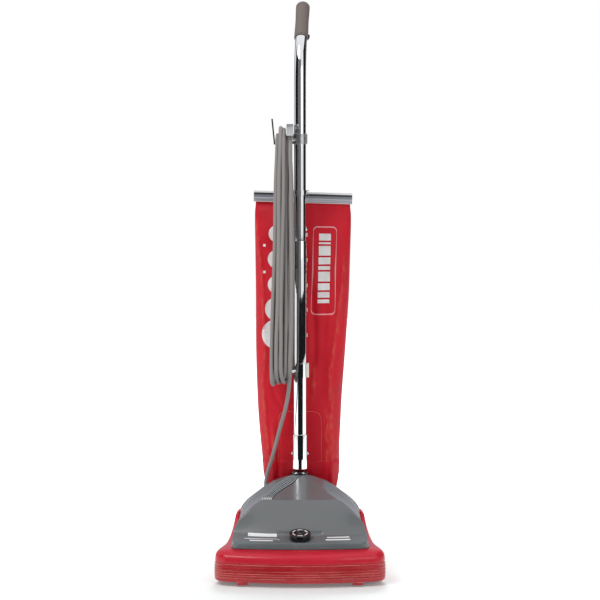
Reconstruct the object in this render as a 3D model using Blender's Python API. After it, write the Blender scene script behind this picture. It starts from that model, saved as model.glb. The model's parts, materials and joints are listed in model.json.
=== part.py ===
"""Upright vacuum cleaner with a cloth bag, a bail handle and a wound cord.

The frame has +Z up, the front at -Y and the origin on the floor at the centre
of the machine without its cord. Lengths are in metres and angles in degrees.
The handle, bag and cord turn together about the pivot pins beside the motor.
"""

import math

import bmesh
import bpy
from mathutils import Matrix, Vector

# ---- Clearances and mesh fineness ------------------------------------------------
GAP = 0.0003                # between pieces that touch or seat
RUNNING_GAP = 0.0004        # between a shaft and what turns on it
CUT_REACH = 0.3             # a cutter reaches this far past the piece that it cuts
SIDES = 20                  # sides of a large round piece
SMALL_SIDES = 12            # sides of a small round piece

# ---- Base ------------------------------------------------------------------------
BRUSH_AXIS = (-0.125, 0.034)  # y and z
BRUSH_HALF_LENGTH = 0.1525  # a cleaning path of twelve inches
END_WALL = 0.0225           # from the end of the brush to the side of the base
BASE_HALF_WIDTH = BRUSH_HALF_LENGTH + END_WALL
BASE_FRONT = 0.190          # from the origin forward to the front of the base
BASE_REAR = 0.150
BASE_BOTTOM = 0.011
FRONT_BOW = 0.036           # how far the front's corners lie behind its middle
WAIST_IN = 0.017            # the sides draw in this much at the waist
WAIST_Y = -0.068
REAR_HALF_WIDTH = 0.139
LEDGE_TOP = 0.0685          # top of the ledge beside the front of the hood
LEDGE_RISE = 0.032          # how much higher the ledge is at the rear
GUARD_TOP = 0.047
GUARD_BOTTOM = 0.0087
GUARD_DEPTH = 0.0085        # from the guard's outer face to the base's core
GUARD_REAR = 0.098          # the guard ends here, ahead of the rear wheels
GLIDE_X = 0.118
GLIDE_LENGTH = 0.022
GLIDE_DEPTH = 0.005
GLIDE_FRONT = -0.1765
GLIDE_BOTTOM = 0.0040
CAVITY_HALF_WIDTH = 0.104
CAVITY_FRONT = -0.086
CAVITY_REAR = 0.131
FLOOR_TOP = 0.016
REAR_WALL_TOP = 0.064
LEDGE_RISE_START = -0.070
LEDGE_RISE_END = 0.105
SIDE_STEPS = 6              # stretches of each side, which follow its rise
CORNER_OUT = 0.0064         # the sharp front corner lies this far outside the widest place

# ---- Hood ------------------------------------------------------------------------
HOOD_WALL = 0.0025
HOOD_FRONT = 0.155
HOOD_REAR = 0.105
HOOD_HALF_WIDTH = 0.1415    # at the front
HOOD_REAR_HALF_WIDTH = 0.133
OPENING_RADIUS = 0.092      # the round opening that the handle and bag pass through
OPENING_CENTRE = 0.121
PARTING_STEP = 0.0045       # the hood's edge stands this far above the ledge
HOOD_STATIONS = (
    # y of the station, height of its middle, exponent of its cross-section
    (-0.1530, 0.0870, 7.0),
    (-0.1200, 0.0960, 5.5),
    (-0.1025, 0.1098, 4.6),
    (-0.0985, 0.1135, 4.5),
    (-0.0800, 0.1370, 3.6),
    (-0.0620, 0.1580, 3.0),
    (-0.0400, 0.1673, 2.5),
    (-0.0050, 0.1820, 2.0),
    (0.0300, 0.1970, 1.75),
    (0.0600, 0.1970, 1.75),
    (0.0850, 0.1970, 1.75),
    (HOOD_REAR, 0.1970, 1.75),
)
HOOD_EDGE_STEPS = 9
RECESS_HALF_WIDTH = 0.047
RECESS_REAR = -0.1000

# ---- Bottom plate ----------------------------------------------------------------
PLATE_THICKNESS = 0.0016
PLATE_REAR = BRUSH_AXIS[0] + 0.0365
PLATE_FRONT = BRUSH_AXIS[0] - 0.0305
SLOT_HALF_WIDTH = 0.0215    # of the slot that the bristles pass
LATCH_X = 0.127
LATCH_Y = PLATE_REAR + 0.0095
LATCH_PIN = 0.003
LATCH_LENGTH = 0.030
LATCH_WIDTH = 0.009
LATCH_THICKNESS = 0.0022

# ---- Wheels ----------------------------------------------------------------------
REAR_WHEEL_RADIUS = 0.030
REAR_WHEEL_WIDTH = 0.021
REAR_WHEEL_X = 0.1205
REAR_AXLE_Y = 0.122
REAR_AXLE_RADIUS = 0.004
FRONT_WHEEL_RADIUS = 0.016
FRONT_WHEEL_WIDTH = 0.015
FRONT_WHEEL_X = 0.080
FRONT_AXLE_Y = -0.0655
FRONT_AXLE_RADIUS = 0.0028

# ---- Brush and motor -------------------------------------------------------------
BRUSH_RADIUS = 0.020
BRISTLE_LENGTH = 0.0085
BRISTLE_WIDTH = 0.005
TUNNEL_RADIUS = 0.0315
PULLEY_GROOVE_RADIUS = 0.0175
MOTOR_RADIUS = 0.050
MOTOR_ROOM = 0.001          # between the motor and the rear axle under it
MOTOR_HEIGHT = REAR_WHEEL_RADIUS + REAR_AXLE_RADIUS + MOTOR_ROOM + MOTOR_RADIUS
MOTOR_FRONT = -0.020
MOTOR_REAR = 0.115
MOTOR_WALL = 0.003
SHAFT_RADIUS = 0.004
FAN_HOUSING_RADIUS = 0.058
FAN_HOUSING_DEPTH = 0.038
PULLEY_RADIUS = 0.0066
PULLEY_CENTRE = -0.0725
BELT_THICKNESS = 0.0018
BELT_WIDTH = 0.009
GROOVE_HALF_WIDTH = 0.0070
ROLL_HALF_LENGTH = BRUSH_HALF_LENGTH - 0.0037
JOURNAL_RADIUS = 0.005
CAP_THICKNESS = 0.003
FAN_FRONT = MOTOR_FRONT - GAP - FAN_HOUSING_DEPTH

# ---- Height knob -----------------------------------------------------------------
KNOB_CENTRE = Vector((0.0, -0.127, 0.0905))   # where its axis crosses the hood
KNOB_TILT = 12.5
KNOB_RADIUS = 0.0225
KNOB_HEIGHT = 0.0125
STEM_RADIUS = 0.0115
HEIGHT_TRAVEL = 0.008
KNOB_TURN = 300.0
PAD_TOP = 0.0812

# ---- Release pedal ---------------------------------------------------------------
PEDAL_X = -0.0895           # beside the path of the bag
PEDAL_WIDTH = 0.024
PEDAL_PIN = Vector((PEDAL_X, BASE_REAR - GUARD_DEPTH + 0.0065, 0.0330))
PEDAL_REACH = 0.0125         # from its pin to its free edge
PEDAL_PIN_RADIUS = 0.0025

# ---- Handle ----------------------------------------------------------------------
PIVOT = Vector((0.0, 0.050, MOTOR_HEIGHT))
PIVOT_PIN_RADIUS = 0.006
BAIL_HALF_WIDTH = 0.072
BAIL_ROD_RADIUS = 0.006
BAIL_SHOULDER = 0.115       # height where the arms begin to curve inwards
BAIL_CROWN = 0.198          # height of the rod's centre under the tubes
TUBE_WALL = 0.0011
LOWER_TUBE_RADIUS = 0.015875            # tube of 1 1/4 inch
MIDDLE_TUBE_RADIUS = 0.0142875          # tube of 1 1/8 inch
UPPER_TUBE_RADIUS = 0.0127              # tube of 1 inch
LOWER_TUBE_TOP = 0.281
MIDDLE_TUBE_TOP = 0.698
TUBE_OVERLAP = 0.050
BEND_START = 1.030
BEND_RADIUS = 0.162
HANDLE_LEAN = 38.0          # lean of the grip behind the vertical
HANDLE_TWIST = 4.0          # the lean is turned this much towards +X
GRIP_LENGTH = 0.1005
GRIP_RADIUS = 0.0150
GRIP_SOCKET = 0.062         # depth of its bore for the tube
EYE_RADIUS = 0.0125
EYE_WIDTH = 0.010
FOOT_TOP = 0.2062           # top of the bail's foot, where the lower tube starts
SPIGOT_TOP = LOWER_TUBE_TOP - TUBE_OVERLAP - GAP
BOLT_RADIUS = 0.0025
LOW_BOLT = 0.239
HIGH_BOLT = 0.723
SWITCH_START = 0.0035
SWITCH_LENGTH = 0.012

# ---- Bag -------------------------------------------------------------------------
BAG_SWEEP_RADIUS = 0.121    # the bag keeps this far from the pivot
BAG_CLIP_TILT = 1.8
BAG_CLIP_CENTRE = Vector((0.0065, 0.125, 0.789))
BAG_CLIP_LENGTH = 0.214
BAG_CLIP_HEIGHT = 0.024
BAG_CLIP_DEPTH = 0.014
BAG_CLIP_WALL = 0.0015
BAG_LEVELS = (
    # height, left edge, right edge, front, rear
    (0.150, -0.0700, 0.0760, 0.096, 0.153),
    (0.180, -0.0780, 0.0840, 0.088, 0.158),
    (0.215, -0.0815, 0.0857, 0.086, 0.165),
    (0.250, -0.0850, 0.0860, 0.085, 0.172),
    (0.300, -0.0895, 0.0885, 0.085, 0.182),
    (0.353, -0.0925, 0.0910, 0.085, 0.188),
    (0.458, -0.0955, 0.0985, 0.085, 0.190),
    (0.574, -0.0957, 0.1060, 0.087, 0.186),
    (0.660, -0.0965, 0.1085, 0.093, 0.172),
    (0.720, -0.0972, 0.1100, 0.101, 0.155),
    (0.755, -0.0978, 0.1108, 0.112, 0.138),
    (0.772, -0.0965, 0.1095, 0.1198, 0.1302),
    (0.799, -0.0965, 0.1095, 0.1198, 0.1302),
)
BAG_POINTS = 24

# ---- Exhaust ---------------------------------------------------------------------
DUCT_RADIUS = 0.0165
DUCT_WALL = 0.002
DUCT_HEIGHT = MOTOR_HEIGHT + MOTOR_RADIUS + DUCT_RADIUS + GAP
PORT_ANGLE = 35.0           # direction of the port from the pivot, behind the vertical
PORT_DISTANCE = 0.1012      # from the pivot to the port's mouth
CUFF_BORE = DUCT_RADIUS + 0.002
CUFF_RADIUS = CUFF_BORE + 0.004
CUFF_ROOM = 0.006           # beside the cuff as it swings down with the handle

# ---- Cord ------------------------------------------------------------------------
CORD_DIAMETER = 0.0084
HANK_PITCH = 0.0088
HANK_CENTRE_Y = 0.030
HANK_INNER_RADIUS = 0.0213
HANK_LAYERS = 3
HANK_TOP_CENTRE = 0.8957    # height of the centre of its upper fold
HANK_BOTTOM_CENTRE = 0.4363
HANK_RIGHT = -0.0180
HANK_LEFT = -0.0640
HANK_LEFT_AT_TOP = -0.0520
HOOK_ROD_RADIUS = 0.0035
UPPER_CLAMP = (0.9045, 0.9257)
LOWER_CLAMP = (0.4046, 0.4349)
LEAD_POINTS = (
    (-0.0235, 0.0180, 0.3880),
    (-0.0290, 0.0235, 0.3500),
    (-0.0430, 0.0420, 0.2950),
    (-0.0600, 0.0640, 0.2280),
    (-0.0735, 0.0800, 0.1780),
    (-0.0748, 0.0812, 0.1600),
    (-0.0745, 0.0810, 0.1485),
)
RELIEF_CENTRE = Vector((-0.0745, 0.0810, 0.0))
RELIEF_RADIUS = 0.0075
RELIEF_BOTTOM = 0.1180
RELIEF_TOP = 0.1482
PLUG_TOP = 0.640
PLUG_LENGTH = 0.036


# ---- Scene and materials ---------------------------------------------------------
def clear_scene():
    for item in list(bpy.data.objects):
        bpy.data.objects.remove(item, do_unlink=True)


def make_material(name, colour, roughness, metallic=0.0):
    """A Principled surface of one colour, roughness and metallic value."""
    found = bpy.data.materials.get(name)
    if found:
        return found
    made = bpy.data.materials.new(name)
    made.use_nodes = True
    surface = made.node_tree.nodes["Principled BSDF"]
    surface.inputs["Base Color"].default_value = (*colour, 1.0)
    surface.inputs["Roughness"].default_value = roughness
    surface.inputs["Metallic"].default_value = metallic
    return made


def red_plastic():
    return make_material("red_plastic", (0.55, 0.012, 0.03), 0.35)


def grey_gloss():
    return make_material("grey_gloss", (0.17, 0.18, 0.19), 0.12)


def chrome():
    return make_material("chrome", (0.75, 0.76, 0.78), 0.08, 1.0)


def steel():
    return make_material("steel", (0.45, 0.46, 0.47), 0.35, 1.0)


def black_plastic():
    return make_material("black_plastic", (0.02, 0.02, 0.02), 0.4)


def black_rubber():
    return make_material("black_rubber", (0.03, 0.03, 0.03), 0.8)


def cream_plastic():
    return make_material("cream_plastic", (0.86, 0.82, 0.74), 0.5)


def grey_plastic():
    return make_material("grey_plastic", (0.28, 0.27, 0.26), 0.5)


def grip_plastic():
    return make_material("grip_plastic", (0.18, 0.145, 0.135), 0.45)


def cord_vinyl():
    return make_material("cord_vinyl", (0.30, 0.28, 0.27), 0.5)


def red_cloth():
    return make_material("red_cloth", (0.50, 0.012, 0.03), 0.9)


def copper():
    return make_material("copper", (0.60, 0.25, 0.12), 0.4, 1.0)


def wood():
    return make_material("wood", (0.45, 0.27, 0.12), 0.6)


# ---- Shapes ----------------------------------------------------------------------
def object_from_bmesh(name, mesh, material, smooth_angle=35.0):
    """A new object from a closed bmesh, its faces turned outwards."""
    bmesh.ops.remove_doubles(mesh, verts=mesh.verts, dist=1e-7)
    bmesh.ops.triangulate(mesh, faces=[f for f in mesh.faces if len(f.verts) == 4])
    bmesh.ops.recalc_face_normals(mesh, faces=mesh.faces)
    if mesh.calc_volume(signed=True) < 0:
        bmesh.ops.reverse_faces(mesh, faces=mesh.faces)
    data = bpy.data.meshes.new(name)
    mesh.to_mesh(data)
    mesh.free()
    data.shade_smooth()
    data.set_sharp_from_angle(angle=math.radians(smooth_angle))
    data.materials.append(material)
    made = bpy.data.objects.new(name, data)
    bpy.context.collection.objects.link(made)
    return made


def combine(target, others, operation):
    """Join to the target, or cut from it, each of the others, which are removed."""
    for other in others:
        step = target.modifiers.new("combine", "BOOLEAN")
        step.object = other
        step.operation = operation
        graph = bpy.context.evaluated_depsgraph_get()
        result = bpy.data.meshes.new_from_object(target.evaluated_get(graph))
        target.modifiers.clear()
        target.data = result
        bpy.data.objects.remove(other, do_unlink=True)
    return target


def turn_to(item, centre, direction):
    """Put an object made along +Z at a place, with its axis along a direction."""
    turn = Vector((0, 0, 1)).rotation_difference(Vector(direction).normalized())
    item.matrix_world = Matrix.Translation(Vector(centre)) @ turn.to_matrix().to_4x4()
    return item


def set_origin(item, place):
    """Move an object's origin to a place and leave its surface where it is."""
    bpy.context.view_layer.update()
    item.data.transform(Matrix.Translation(-Vector(place)) @ item.matrix_world)
    item.matrix_world = Matrix.Translation(Vector(place))
    return item


def box(name, low, high, material):
    mesh = bmesh.new()
    bmesh.ops.create_cube(mesh, size=1.0)
    low, high = Vector(low), Vector(high)
    size = high - low
    middle = (high + low) / 2
    for vert in mesh.verts:
        vert.co = Vector([middle[k] + vert.co[k] * size[k] for k in range(3)])
    return object_from_bmesh(name, mesh, material)


def rod(name, start, end, radius, material, sides=SMALL_SIDES):
    """A round bar between two points."""
    start, end = Vector(start), Vector(end)
    mesh = bmesh.new()
    bmesh.ops.create_cone(mesh, cap_ends=True, segments=sides, radius1=radius,
                          radius2=radius, depth=(end - start).length)
    made = object_from_bmesh(name, mesh, material)
    turn_to(made, (start + end) / 2, end - start)
    return set_origin(made, start)


def turned(name, profile, material, closed=False, sides=SIDES):
    """A solid turned about +Z from (radius, height) points.

    An open profile starts and ends on the axis. A closed one goes round a wall.
    """
    mesh = bmesh.new()
    verts = [mesh.verts.new((radius, 0.0, height)) for radius, height in profile]
    pairs = list(zip(verts, verts[1:]))
    if closed:
        pairs.append((verts[-1], verts[0]))
    edges = [mesh.edges.new(pair) for pair in pairs]
    bmesh.ops.spin(mesh, geom=verts + edges, cent=(0, 0, 0), axis=(0, 0, 1),
                   angle=math.tau, steps=sides, use_merge=True)
    return object_from_bmesh(name, mesh, material)


def pipe(name, outer, inner, low, high, material, sides=SIDES):
    """A straight pipe about the Z axis through its own origin."""
    wall = [(inner, low), (outer, low), (outer, high), (inner, high)]
    return turned(name, wall, material, closed=True, sides=sides)


def filleted(corners):
    """The points of a closed outline whose corners (x, y, radius, facets) are arcs."""
    points = []
    count = len(corners)
    for index, (x, y, radius, facets) in enumerate(corners):
        here = Vector((x, y))
        before = (Vector(corners[index - 1][:2]) - here).normalized()
        after = (Vector(corners[(index + 1) % count][:2]) - here).normalized()
        half = before.angle(after) / 2
        if radius < 1e-6 or facets < 1:
            points.append(here)
            continue
        middle = here + (before + after).normalized() * (radius / math.sin(half))
        start = here + before * (radius / math.tan(half)) - middle
        end = here + after * (radius / math.tan(half)) - middle
        sweep = math.pi - 2 * half
        sign = 1.0 if start.x * end.y - start.y * end.x > 0 else -1.0
        for step in range(facets + 1):
            turn = Matrix.Rotation(sign * sweep * step / facets, 2)
            points.append(middle + turn @ start)
    return points


def prism(name, outline, axis, low, high, material):
    """An outline extruded along X, Y or Z; it lies in the other two directions."""
    order = {"X": (1, 2, 0), "Y": (0, 2, 1), "Z": (0, 1, 2)}[axis]
    mesh = bmesh.new()
    verts = []
    for point in outline:
        place = [0.0, 0.0, 0.0]
        place[order[0]], place[order[1]], place[order[2]] = point[0], point[1], low
        verts.append(mesh.verts.new(place))
    face = mesh.faces.new(verts)
    grown = bmesh.ops.extrude_face_region(mesh, geom=[face])
    shift = [0.0, 0.0, 0.0]
    shift[order[2]] = high - low
    moved = [item for item in grown["geom"] if isinstance(item, bmesh.types.BMVert)]
    bmesh.ops.translate(mesh, verts=moved, vec=shift)
    return object_from_bmesh(name, mesh, material)


def lofted(name, rings, material, closed=False):
    """A skin through rings of equally many points, with its ends capped."""
    mesh = bmesh.new()
    rows = [[mesh.verts.new(point) for point in ring] for ring in rings]
    pairs = list(zip(rows, rows[1:]))
    if closed:
        pairs.append((rows[-1], rows[0]))
    for row, following in pairs:
        for k in range(len(row)):
            nxt = (k + 1) % len(row)
            mesh.faces.new((row[k], row[nxt], following[nxt], following[k]))
    if not closed:
        mesh.faces.new(rows[0])
        mesh.faces.new(rows[-1])
    return object_from_bmesh(name, mesh, material)


def path_frames(path):
    """For each point of a path its place and two directions across it."""
    path = [Vector(point) for point in path]
    frames = []
    side = None
    for index, place in enumerate(path):
        before = path[max(index - 1, 0)]
        after = path[min(index + 1, len(path) - 1)]
        along = (after - before).normalized()
        if side is None:
            seed = Vector((1, 0, 0)) if abs(along.x) < 0.9 else Vector((0, 1, 0))
            side = seed
        side = (side - along * side.dot(along)).normalized()
        frames.append((place, side, along.cross(side)))
    return frames


def ring_at(frame, radius, sides):
    place, side, up = frame
    angles = [math.tau * k / sides for k in range(sides)]
    return [place + side * radius * math.cos(a) + up * radius * math.sin(a)
            for a in angles]


def bar_along(name, path, radius, material, sides=SMALL_SIDES):
    """A solid round bar along a path."""
    rings = [ring_at(frame, radius, sides) for frame in path_frames(path)]
    return lofted(name, rings, material)


def pipe_along(name, path, outer, inner, material, sides=SIDES):
    """A pipe along a path, open at both ends."""
    frames = path_frames(path)
    rings = [ring_at(frame, outer, sides) for frame in frames]
    rings += [ring_at(frame, inner, sides) for frame in reversed(frames)]
    return lofted(name, rings, material, closed=True)


def mirrored(point):
    return (-point[0], *point[1:])


# ---- Base: housing, guard and hood -----------------------------------------------


def ledge_rise(y):
    """How much the ledge has risen at a place along the machine."""
    share = (y - LEDGE_RISE_START) / (LEDGE_RISE_END - LEDGE_RISE_START)
    return LEDGE_RISE * min(max(share, 0.0), 1.0) ** 3


def parting_height(y):
    return LEDGE_TOP + PARTING_STEP + ledge_rise(y)


def bowed_outline(front, half_width, bow, bow_radius, corner, waist, rear, inset):
    """A plan outline with a bowed front, rounded corners and a waist on each side."""
    corner_x, corner_radius = half_width + CORNER_OUT, corner
    slope = math.atan2(bow, corner_x)
    nose = -(front + bow_radius * (1 / math.cos(slope) - 1))
    shrunk = max(corner_radius - inset, 0.002)
    right = [(corner_x - inset, nose + bow + inset, shrunk, 5)]
    end = (rear[0] - inset, rear[1] - inset)
    for step in range(SIDE_STEPS):
        share = step / SIDE_STEPS
        right.append((waist[0] - inset + (end[0] - waist[0] + inset) * share,
                      waist[1] + (end[1] - waist[1]) * share, 0, 0))
    right.append((*end, max(0.012 - inset, 0.002), 3))
    left = [mirrored(point) for point in reversed(right)]
    return filleted([(0.0, nose + inset, bow_radius, 6)] + right + left)


def base_outline(inset):
    return bowed_outline(BASE_FRONT, BASE_HALF_WIDTH, FRONT_BOW, 0.60, 0.030,
                         (BASE_HALF_WIDTH - WAIST_IN, WAIST_Y), (REAR_HALF_WIDTH, BASE_REAR), inset)


def hood_outline(inset):
    return bowed_outline(HOOD_FRONT, HOOD_HALF_WIDTH - CORNER_OUT, 0.012, 1.0, 0.018,
                         (0.1396, -0.100), (HOOD_REAR_HALF_WIDTH, HOOD_REAR), inset)


def raised(outline, height, rise=0.0):
    return [(p.x, p.y, height + rise * ledge_rise(p.y)) for p in outline]


def base_housing():
    core = GUARD_DEPTH + GAP
    ledge = LEDGE_TOP
    rings = [
        raised(base_outline(core), BASE_BOTTOM),
        raised(base_outline(core), GUARD_TOP + GAP),
        raised(base_outline(0.0015), GUARD_TOP + GAP),
        raised(base_outline(0.0), GUARD_TOP + 0.004, 0.2),
        raised(base_outline(0.0025), ledge - 0.008, 0.9),
        raised(base_outline(0.007), ledge - 0.003, 1.0),
        raised(base_outline(0.013), ledge, 1.0),
        raised(hood_outline(-0.0012), ledge + PARTING_STEP - 0.0006, 1.0),
        raised(hood_outline(HOOD_WALL + 0.0015), ledge - 0.0005),
    ]
    made = lofted("base_housing", rings, red_plastic())
    y, z = BRUSH_AXIS
    room = CUT_REACH
    cuff_side = CUFF_RADIUS + CUFF_ROOM
    cutters = [
        box("cavity", (-CAVITY_HALF_WIDTH, CAVITY_FRONT, FLOOR_TOP),
            (CAVITY_HALF_WIDTH, CAVITY_REAR, room), red_plastic()),
        rod("tunnel", (-BRUSH_HALF_LENGTH, y, z), (BRUSH_HALF_LENGTH, y, z),
            TUNNEL_RADIUS, red_plastic(), 24),
        box("belt_slot", (-0.020, y - 0.026, z + 0.003), (0.020, CAVITY_FRONT + 0.003, room),
            red_plastic()),
        box("carriage_well", (-0.100, CAVITY_FRONT - 0.0001, -room),
            (0.100, FRONT_AXLE_Y + FRONT_WHEEL_RADIUS + 0.002, 0.050), red_plastic()),
        box("rear_notch", (-OPENING_RADIUS, CAVITY_REAR - 0.012, REAR_WALL_TOP),
            (OPENING_RADIUS, room, room), red_plastic()),
        box("cuff_notch", (-cuff_side, CAVITY_REAR - 0.012, FLOOR_TOP + 0.004),
            (cuff_side, room, room), red_plastic()),
        rod("axle_bore", (-room, REAR_AXLE_Y, REAR_WHEEL_RADIUS),
            (room, REAR_AXLE_Y, REAR_WHEEL_RADIUS), REAR_AXLE_RADIUS + GAP, red_plastic()),
    ]
    pocket_in = REAR_WHEEL_X - REAR_WHEEL_WIDTH / 2 - 0.0012
    for side in (-1, 1):
        ends = sorted((side * pocket_in, side * 0.1345))
        cutters.append(box("wheel_pocket", (ends[0], REAR_AXLE_Y - 0.034, -room),
                           (ends[1], room, 0.064), red_plastic()))
        cutters.append(rod("latch_bore", (side * LATCH_X, LATCH_Y, -0.01),
                           (side * LATCH_X, LATCH_Y, 0.0195), LATCH_PIN + GAP,
                           red_plastic()))
    combine(made, cutters, "DIFFERENCE")
    ears = []
    for side in (-1, 1):
        inner = PEDAL_X + side * (PEDAL_WIDTH / 2 + GAP)
        low, high = sorted((inner, inner + side * 0.004))
        ears.append(box("ear", (low, BASE_REAR - GUARD_DEPTH - 0.002, PEDAL_PIN.z - 0.006),
                        (high, PEDAL_PIN.y + 0.0045, PEDAL_PIN.z + 0.006), red_plastic()))
    combine(made, ears, "UNION")
    bore = rod("pin_bore", PEDAL_PIN - Vector((PEDAL_WIDTH, 0, 0)),
               PEDAL_PIN + Vector((PEDAL_WIDTH, 0, 0)), PEDAL_PIN_RADIUS + GAP,
               red_plastic())
    return combine(made, [bore], "DIFFERENCE")


def furniture_guard():
    """The ribbed bumper round the front and sides, with two glides under it."""
    levels = [
        (0.0045, GUARD_BOTTOM), (0.0010, GUARD_BOTTOM + 0.0035),
        (0.0000, 0.0170), (0.0016, 0.0180), (0.0000, 0.0190),
        (0.0000, 0.0320), (0.0016, 0.0330), (0.0000, 0.0340),
        (0.0000, GUARD_TOP - 0.003), (0.0022, GUARD_TOP),
    ]
    rings = [raised(base_outline(inset), height) for inset, height in levels]
    made = lofted("furniture_guard", rings, red_plastic())
    room = CUT_REACH
    core = prism("core", base_outline(GUARD_DEPTH), "Z", -room, room, red_plastic())
    rear = box("rear", (-room, GUARD_REAR, -room), (room, room, room), red_plastic())
    combine(made, [core, rear], "DIFFERENCE")
    glides = []
    for side in (-1, 1):
        middle = side * GLIDE_X
        glides.append(box("glide", (middle - GLIDE_LENGTH / 2, GLIDE_FRONT, GLIDE_BOTTOM),
                          (middle + GLIDE_LENGTH / 2, GLIDE_FRONT + GLIDE_DEPTH,
                           GUARD_BOTTOM + 0.0033), red_plastic()))
    return combine(made, glides, "UNION")


def recess_height(y):
    """Height of the flat recess that the height knob stands in."""
    return KNOB_CENTRE.z + math.tan(math.radians(KNOB_TILT)) * (y - KNOB_CENTRE.y)


def hood_half_width(y):
    if y < -0.100:
        return HOOD_HALF_WIDTH - 0.0019 * (y + HOOD_FRONT) / (HOOD_FRONT - 0.100)
    share = (y + 0.100) / (HOOD_REAR + 0.100)
    return 0.1396 + (HOOD_REAR_HALF_WIDTH - 0.1396) * share


def hood_columns(half, power):
    """Places across the hood, as shares of its half-width: closer at the edges.

    The first few lie at the same places on every row, so that the sides of the
    recess run straight; the rest follow the curve of the cross-section.
    """
    inner = [0.0, RECESS_HALF_WIDTH / 2, RECESS_HALF_WIDTH - 0.0005,
             RECESS_HALF_WIDTH + 0.0015]
    shares = [x / half for x in inner]
    start = math.asin(shares[-1] ** (power / 2))
    for step in range(1, HOOD_EDGE_STEPS + 1):
        angle = start + (math.pi / 2 - start) * step / HOOD_EDGE_STEPS
        shares.append(math.sin(angle) ** (2 / power))
    return [-share for share in reversed(shares[1:])] + shares


def hood_row(station, wall):
    """One cross-section of the hood, a given wall thickness inside its outer face."""
    y, top, power = station
    half = hood_half_width(y) - wall
    foot = parting_height(y)
    bow = 0.012 * max(0.0, (-0.060 - y) / (HOOD_FRONT - 0.060))
    row = []
    for across in hood_columns(half, power):
        up = max(1.0 - abs(across) ** power, 0.0) ** (1 / power)
        x = half * across
        place = y + bow * across ** 2
        z = foot + max(top - wall - foot, 0.0) * up
        if abs(x) < RECESS_HALF_WIDTH and place < RECESS_REAR and z > foot:
            z = min(z, recess_height(place) - wall)
        row.append(Vector((x, place, z)))
    return row


def hood():
    """A shell over the motor and brush, open behind for the handle and bag."""
    front_foot = (-HOOD_FRONT, parting_height(-HOOD_FRONT), 7.0)
    rows = {}
    for wall in (0.0, HOOD_WALL):
        stations = [front_foot] + list(HOOD_STATIONS)
        first = hood_row(front_foot, wall)
        for point in first:
            point.z = parting_height(-HOOD_FRONT)
            point.y += wall
        rows[wall] = [first] + [hood_row(s, wall) for s in stations[1:]]
        if wall:
            for point in rows[wall][1]:
                point.y += wall
    mesh = bmesh.new()
    grids = {wall: [[mesh.verts.new(p) for p in row] for row in rows[wall]]
             for wall in rows}
    outer, inner = grids[0.0], grids[HOOD_WALL]
    last, columns = len(outer) - 1, len(outer[0]) - 1
    for grid in (outer, inner):
        for i in range(last):
            for k in range(columns):
                mesh.faces.new((grid[i][k], grid[i][k + 1],
                                grid[i + 1][k + 1], grid[i + 1][k]))
    for k in range(columns):
        for i in (0, last):
            mesh.faces.new((outer[i][k], outer[i][k + 1],
                            inner[i][k + 1], inner[i][k]))
    for i in range(last):
        for k in (0, columns):
            mesh.faces.new((outer[i][k], outer[i + 1][k],
                            inner[i + 1][k], inner[i][k]))
    made = object_from_bmesh("hood", mesh, grey_gloss())
    along = Vector((0, -math.sin(math.radians(KNOB_TILT)),
                    math.cos(math.radians(KNOB_TILT))))
    cutters = [
        rod("opening", (0, OPENING_CENTRE, 0.02), (0, OPENING_CENTRE, 0.3),
            OPENING_RADIUS, grey_gloss(), 40),
        rod("stem_bore", KNOB_CENTRE - along * 0.02, KNOB_CENTRE + along * 0.02,
            STEM_RADIUS + 2 * GAP, grey_gloss(), 24),
    ]
    return combine(made, cutters, "DIFFERENCE")


def bottom_plate():
    """The steel plate under the brush, with the slot that the bristles pass."""
    end = BRUSH_HALF_LENGTH
    right = [(end - 0.0045, PLATE_FRONT, 0, 0), (end + 0.0080, PLATE_FRONT + 0.0115, 0, 0),
             (end + 0.0015, PLATE_REAR, 0, 0)]
    left = [mirrored(point) for point in reversed(right)]
    top = BASE_BOTTOM - GAP
    made = prism("bottom_plate", filleted(right + left), "Z", top - PLATE_THICKNESS, top,
                 steel())
    side = end + 0.0005
    near, far = BRUSH_AXIS[0] - SLOT_HALF_WIDTH, BRUSH_AXIS[0] + SLOT_HALF_WIDTH
    slot = filleted([(-side, near, 0.003, 3), (side, near, 0.003, 3),
                     (side, far, 0.003, 3), (-side, far, 0.003, 3)])
    cutter = prism("slot", slot, "Z", -CUT_REACH, CUT_REACH, steel())
    return combine(made, [cutter], "DIFFERENCE")


def plate_latch(side, name):
    """A turn latch under the rear edge of the bottom plate."""
    half = LATCH_LENGTH / 2
    end = LATCH_WIDTH / 2
    outline = filleted([(-end, -half, end * 0.999, 5), (end, -half, end * 0.999, 5),
                        (end, half, end * 0.999, 5), (-end, half, end * 0.999, 5)])
    top = BASE_BOTTOM - PLATE_THICKNESS - 2 * GAP
    bar = prism(name, outline, "Z", top - LATCH_THICKNESS, top, steel())
    pin = rod("pin", (0, 0, top - 0.001), (0, 0, 0.019), LATCH_PIN, steel())
    made = combine(bar, [pin], "UNION")
    made.location = (side * LATCH_X, LATCH_Y, 0.0)
    return made


# ---- Brush, belt and motor -------------------------------------------------------


def along_x(item, place):
    """Put an object made along +Z at a place, with its axis along +X."""
    item.matrix_world = Matrix.Translation(Vector(place)) @ Matrix.Rotation(
        math.radians(90), 4, "Y")
    return item


def along_y(item, place):
    """Put an object made along +Z at a place, with its axis along +Y."""
    item.matrix_world = Matrix.Translation(Vector(place)) @ Matrix.Rotation(
        math.radians(-90), 4, "X")
    return item


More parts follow.
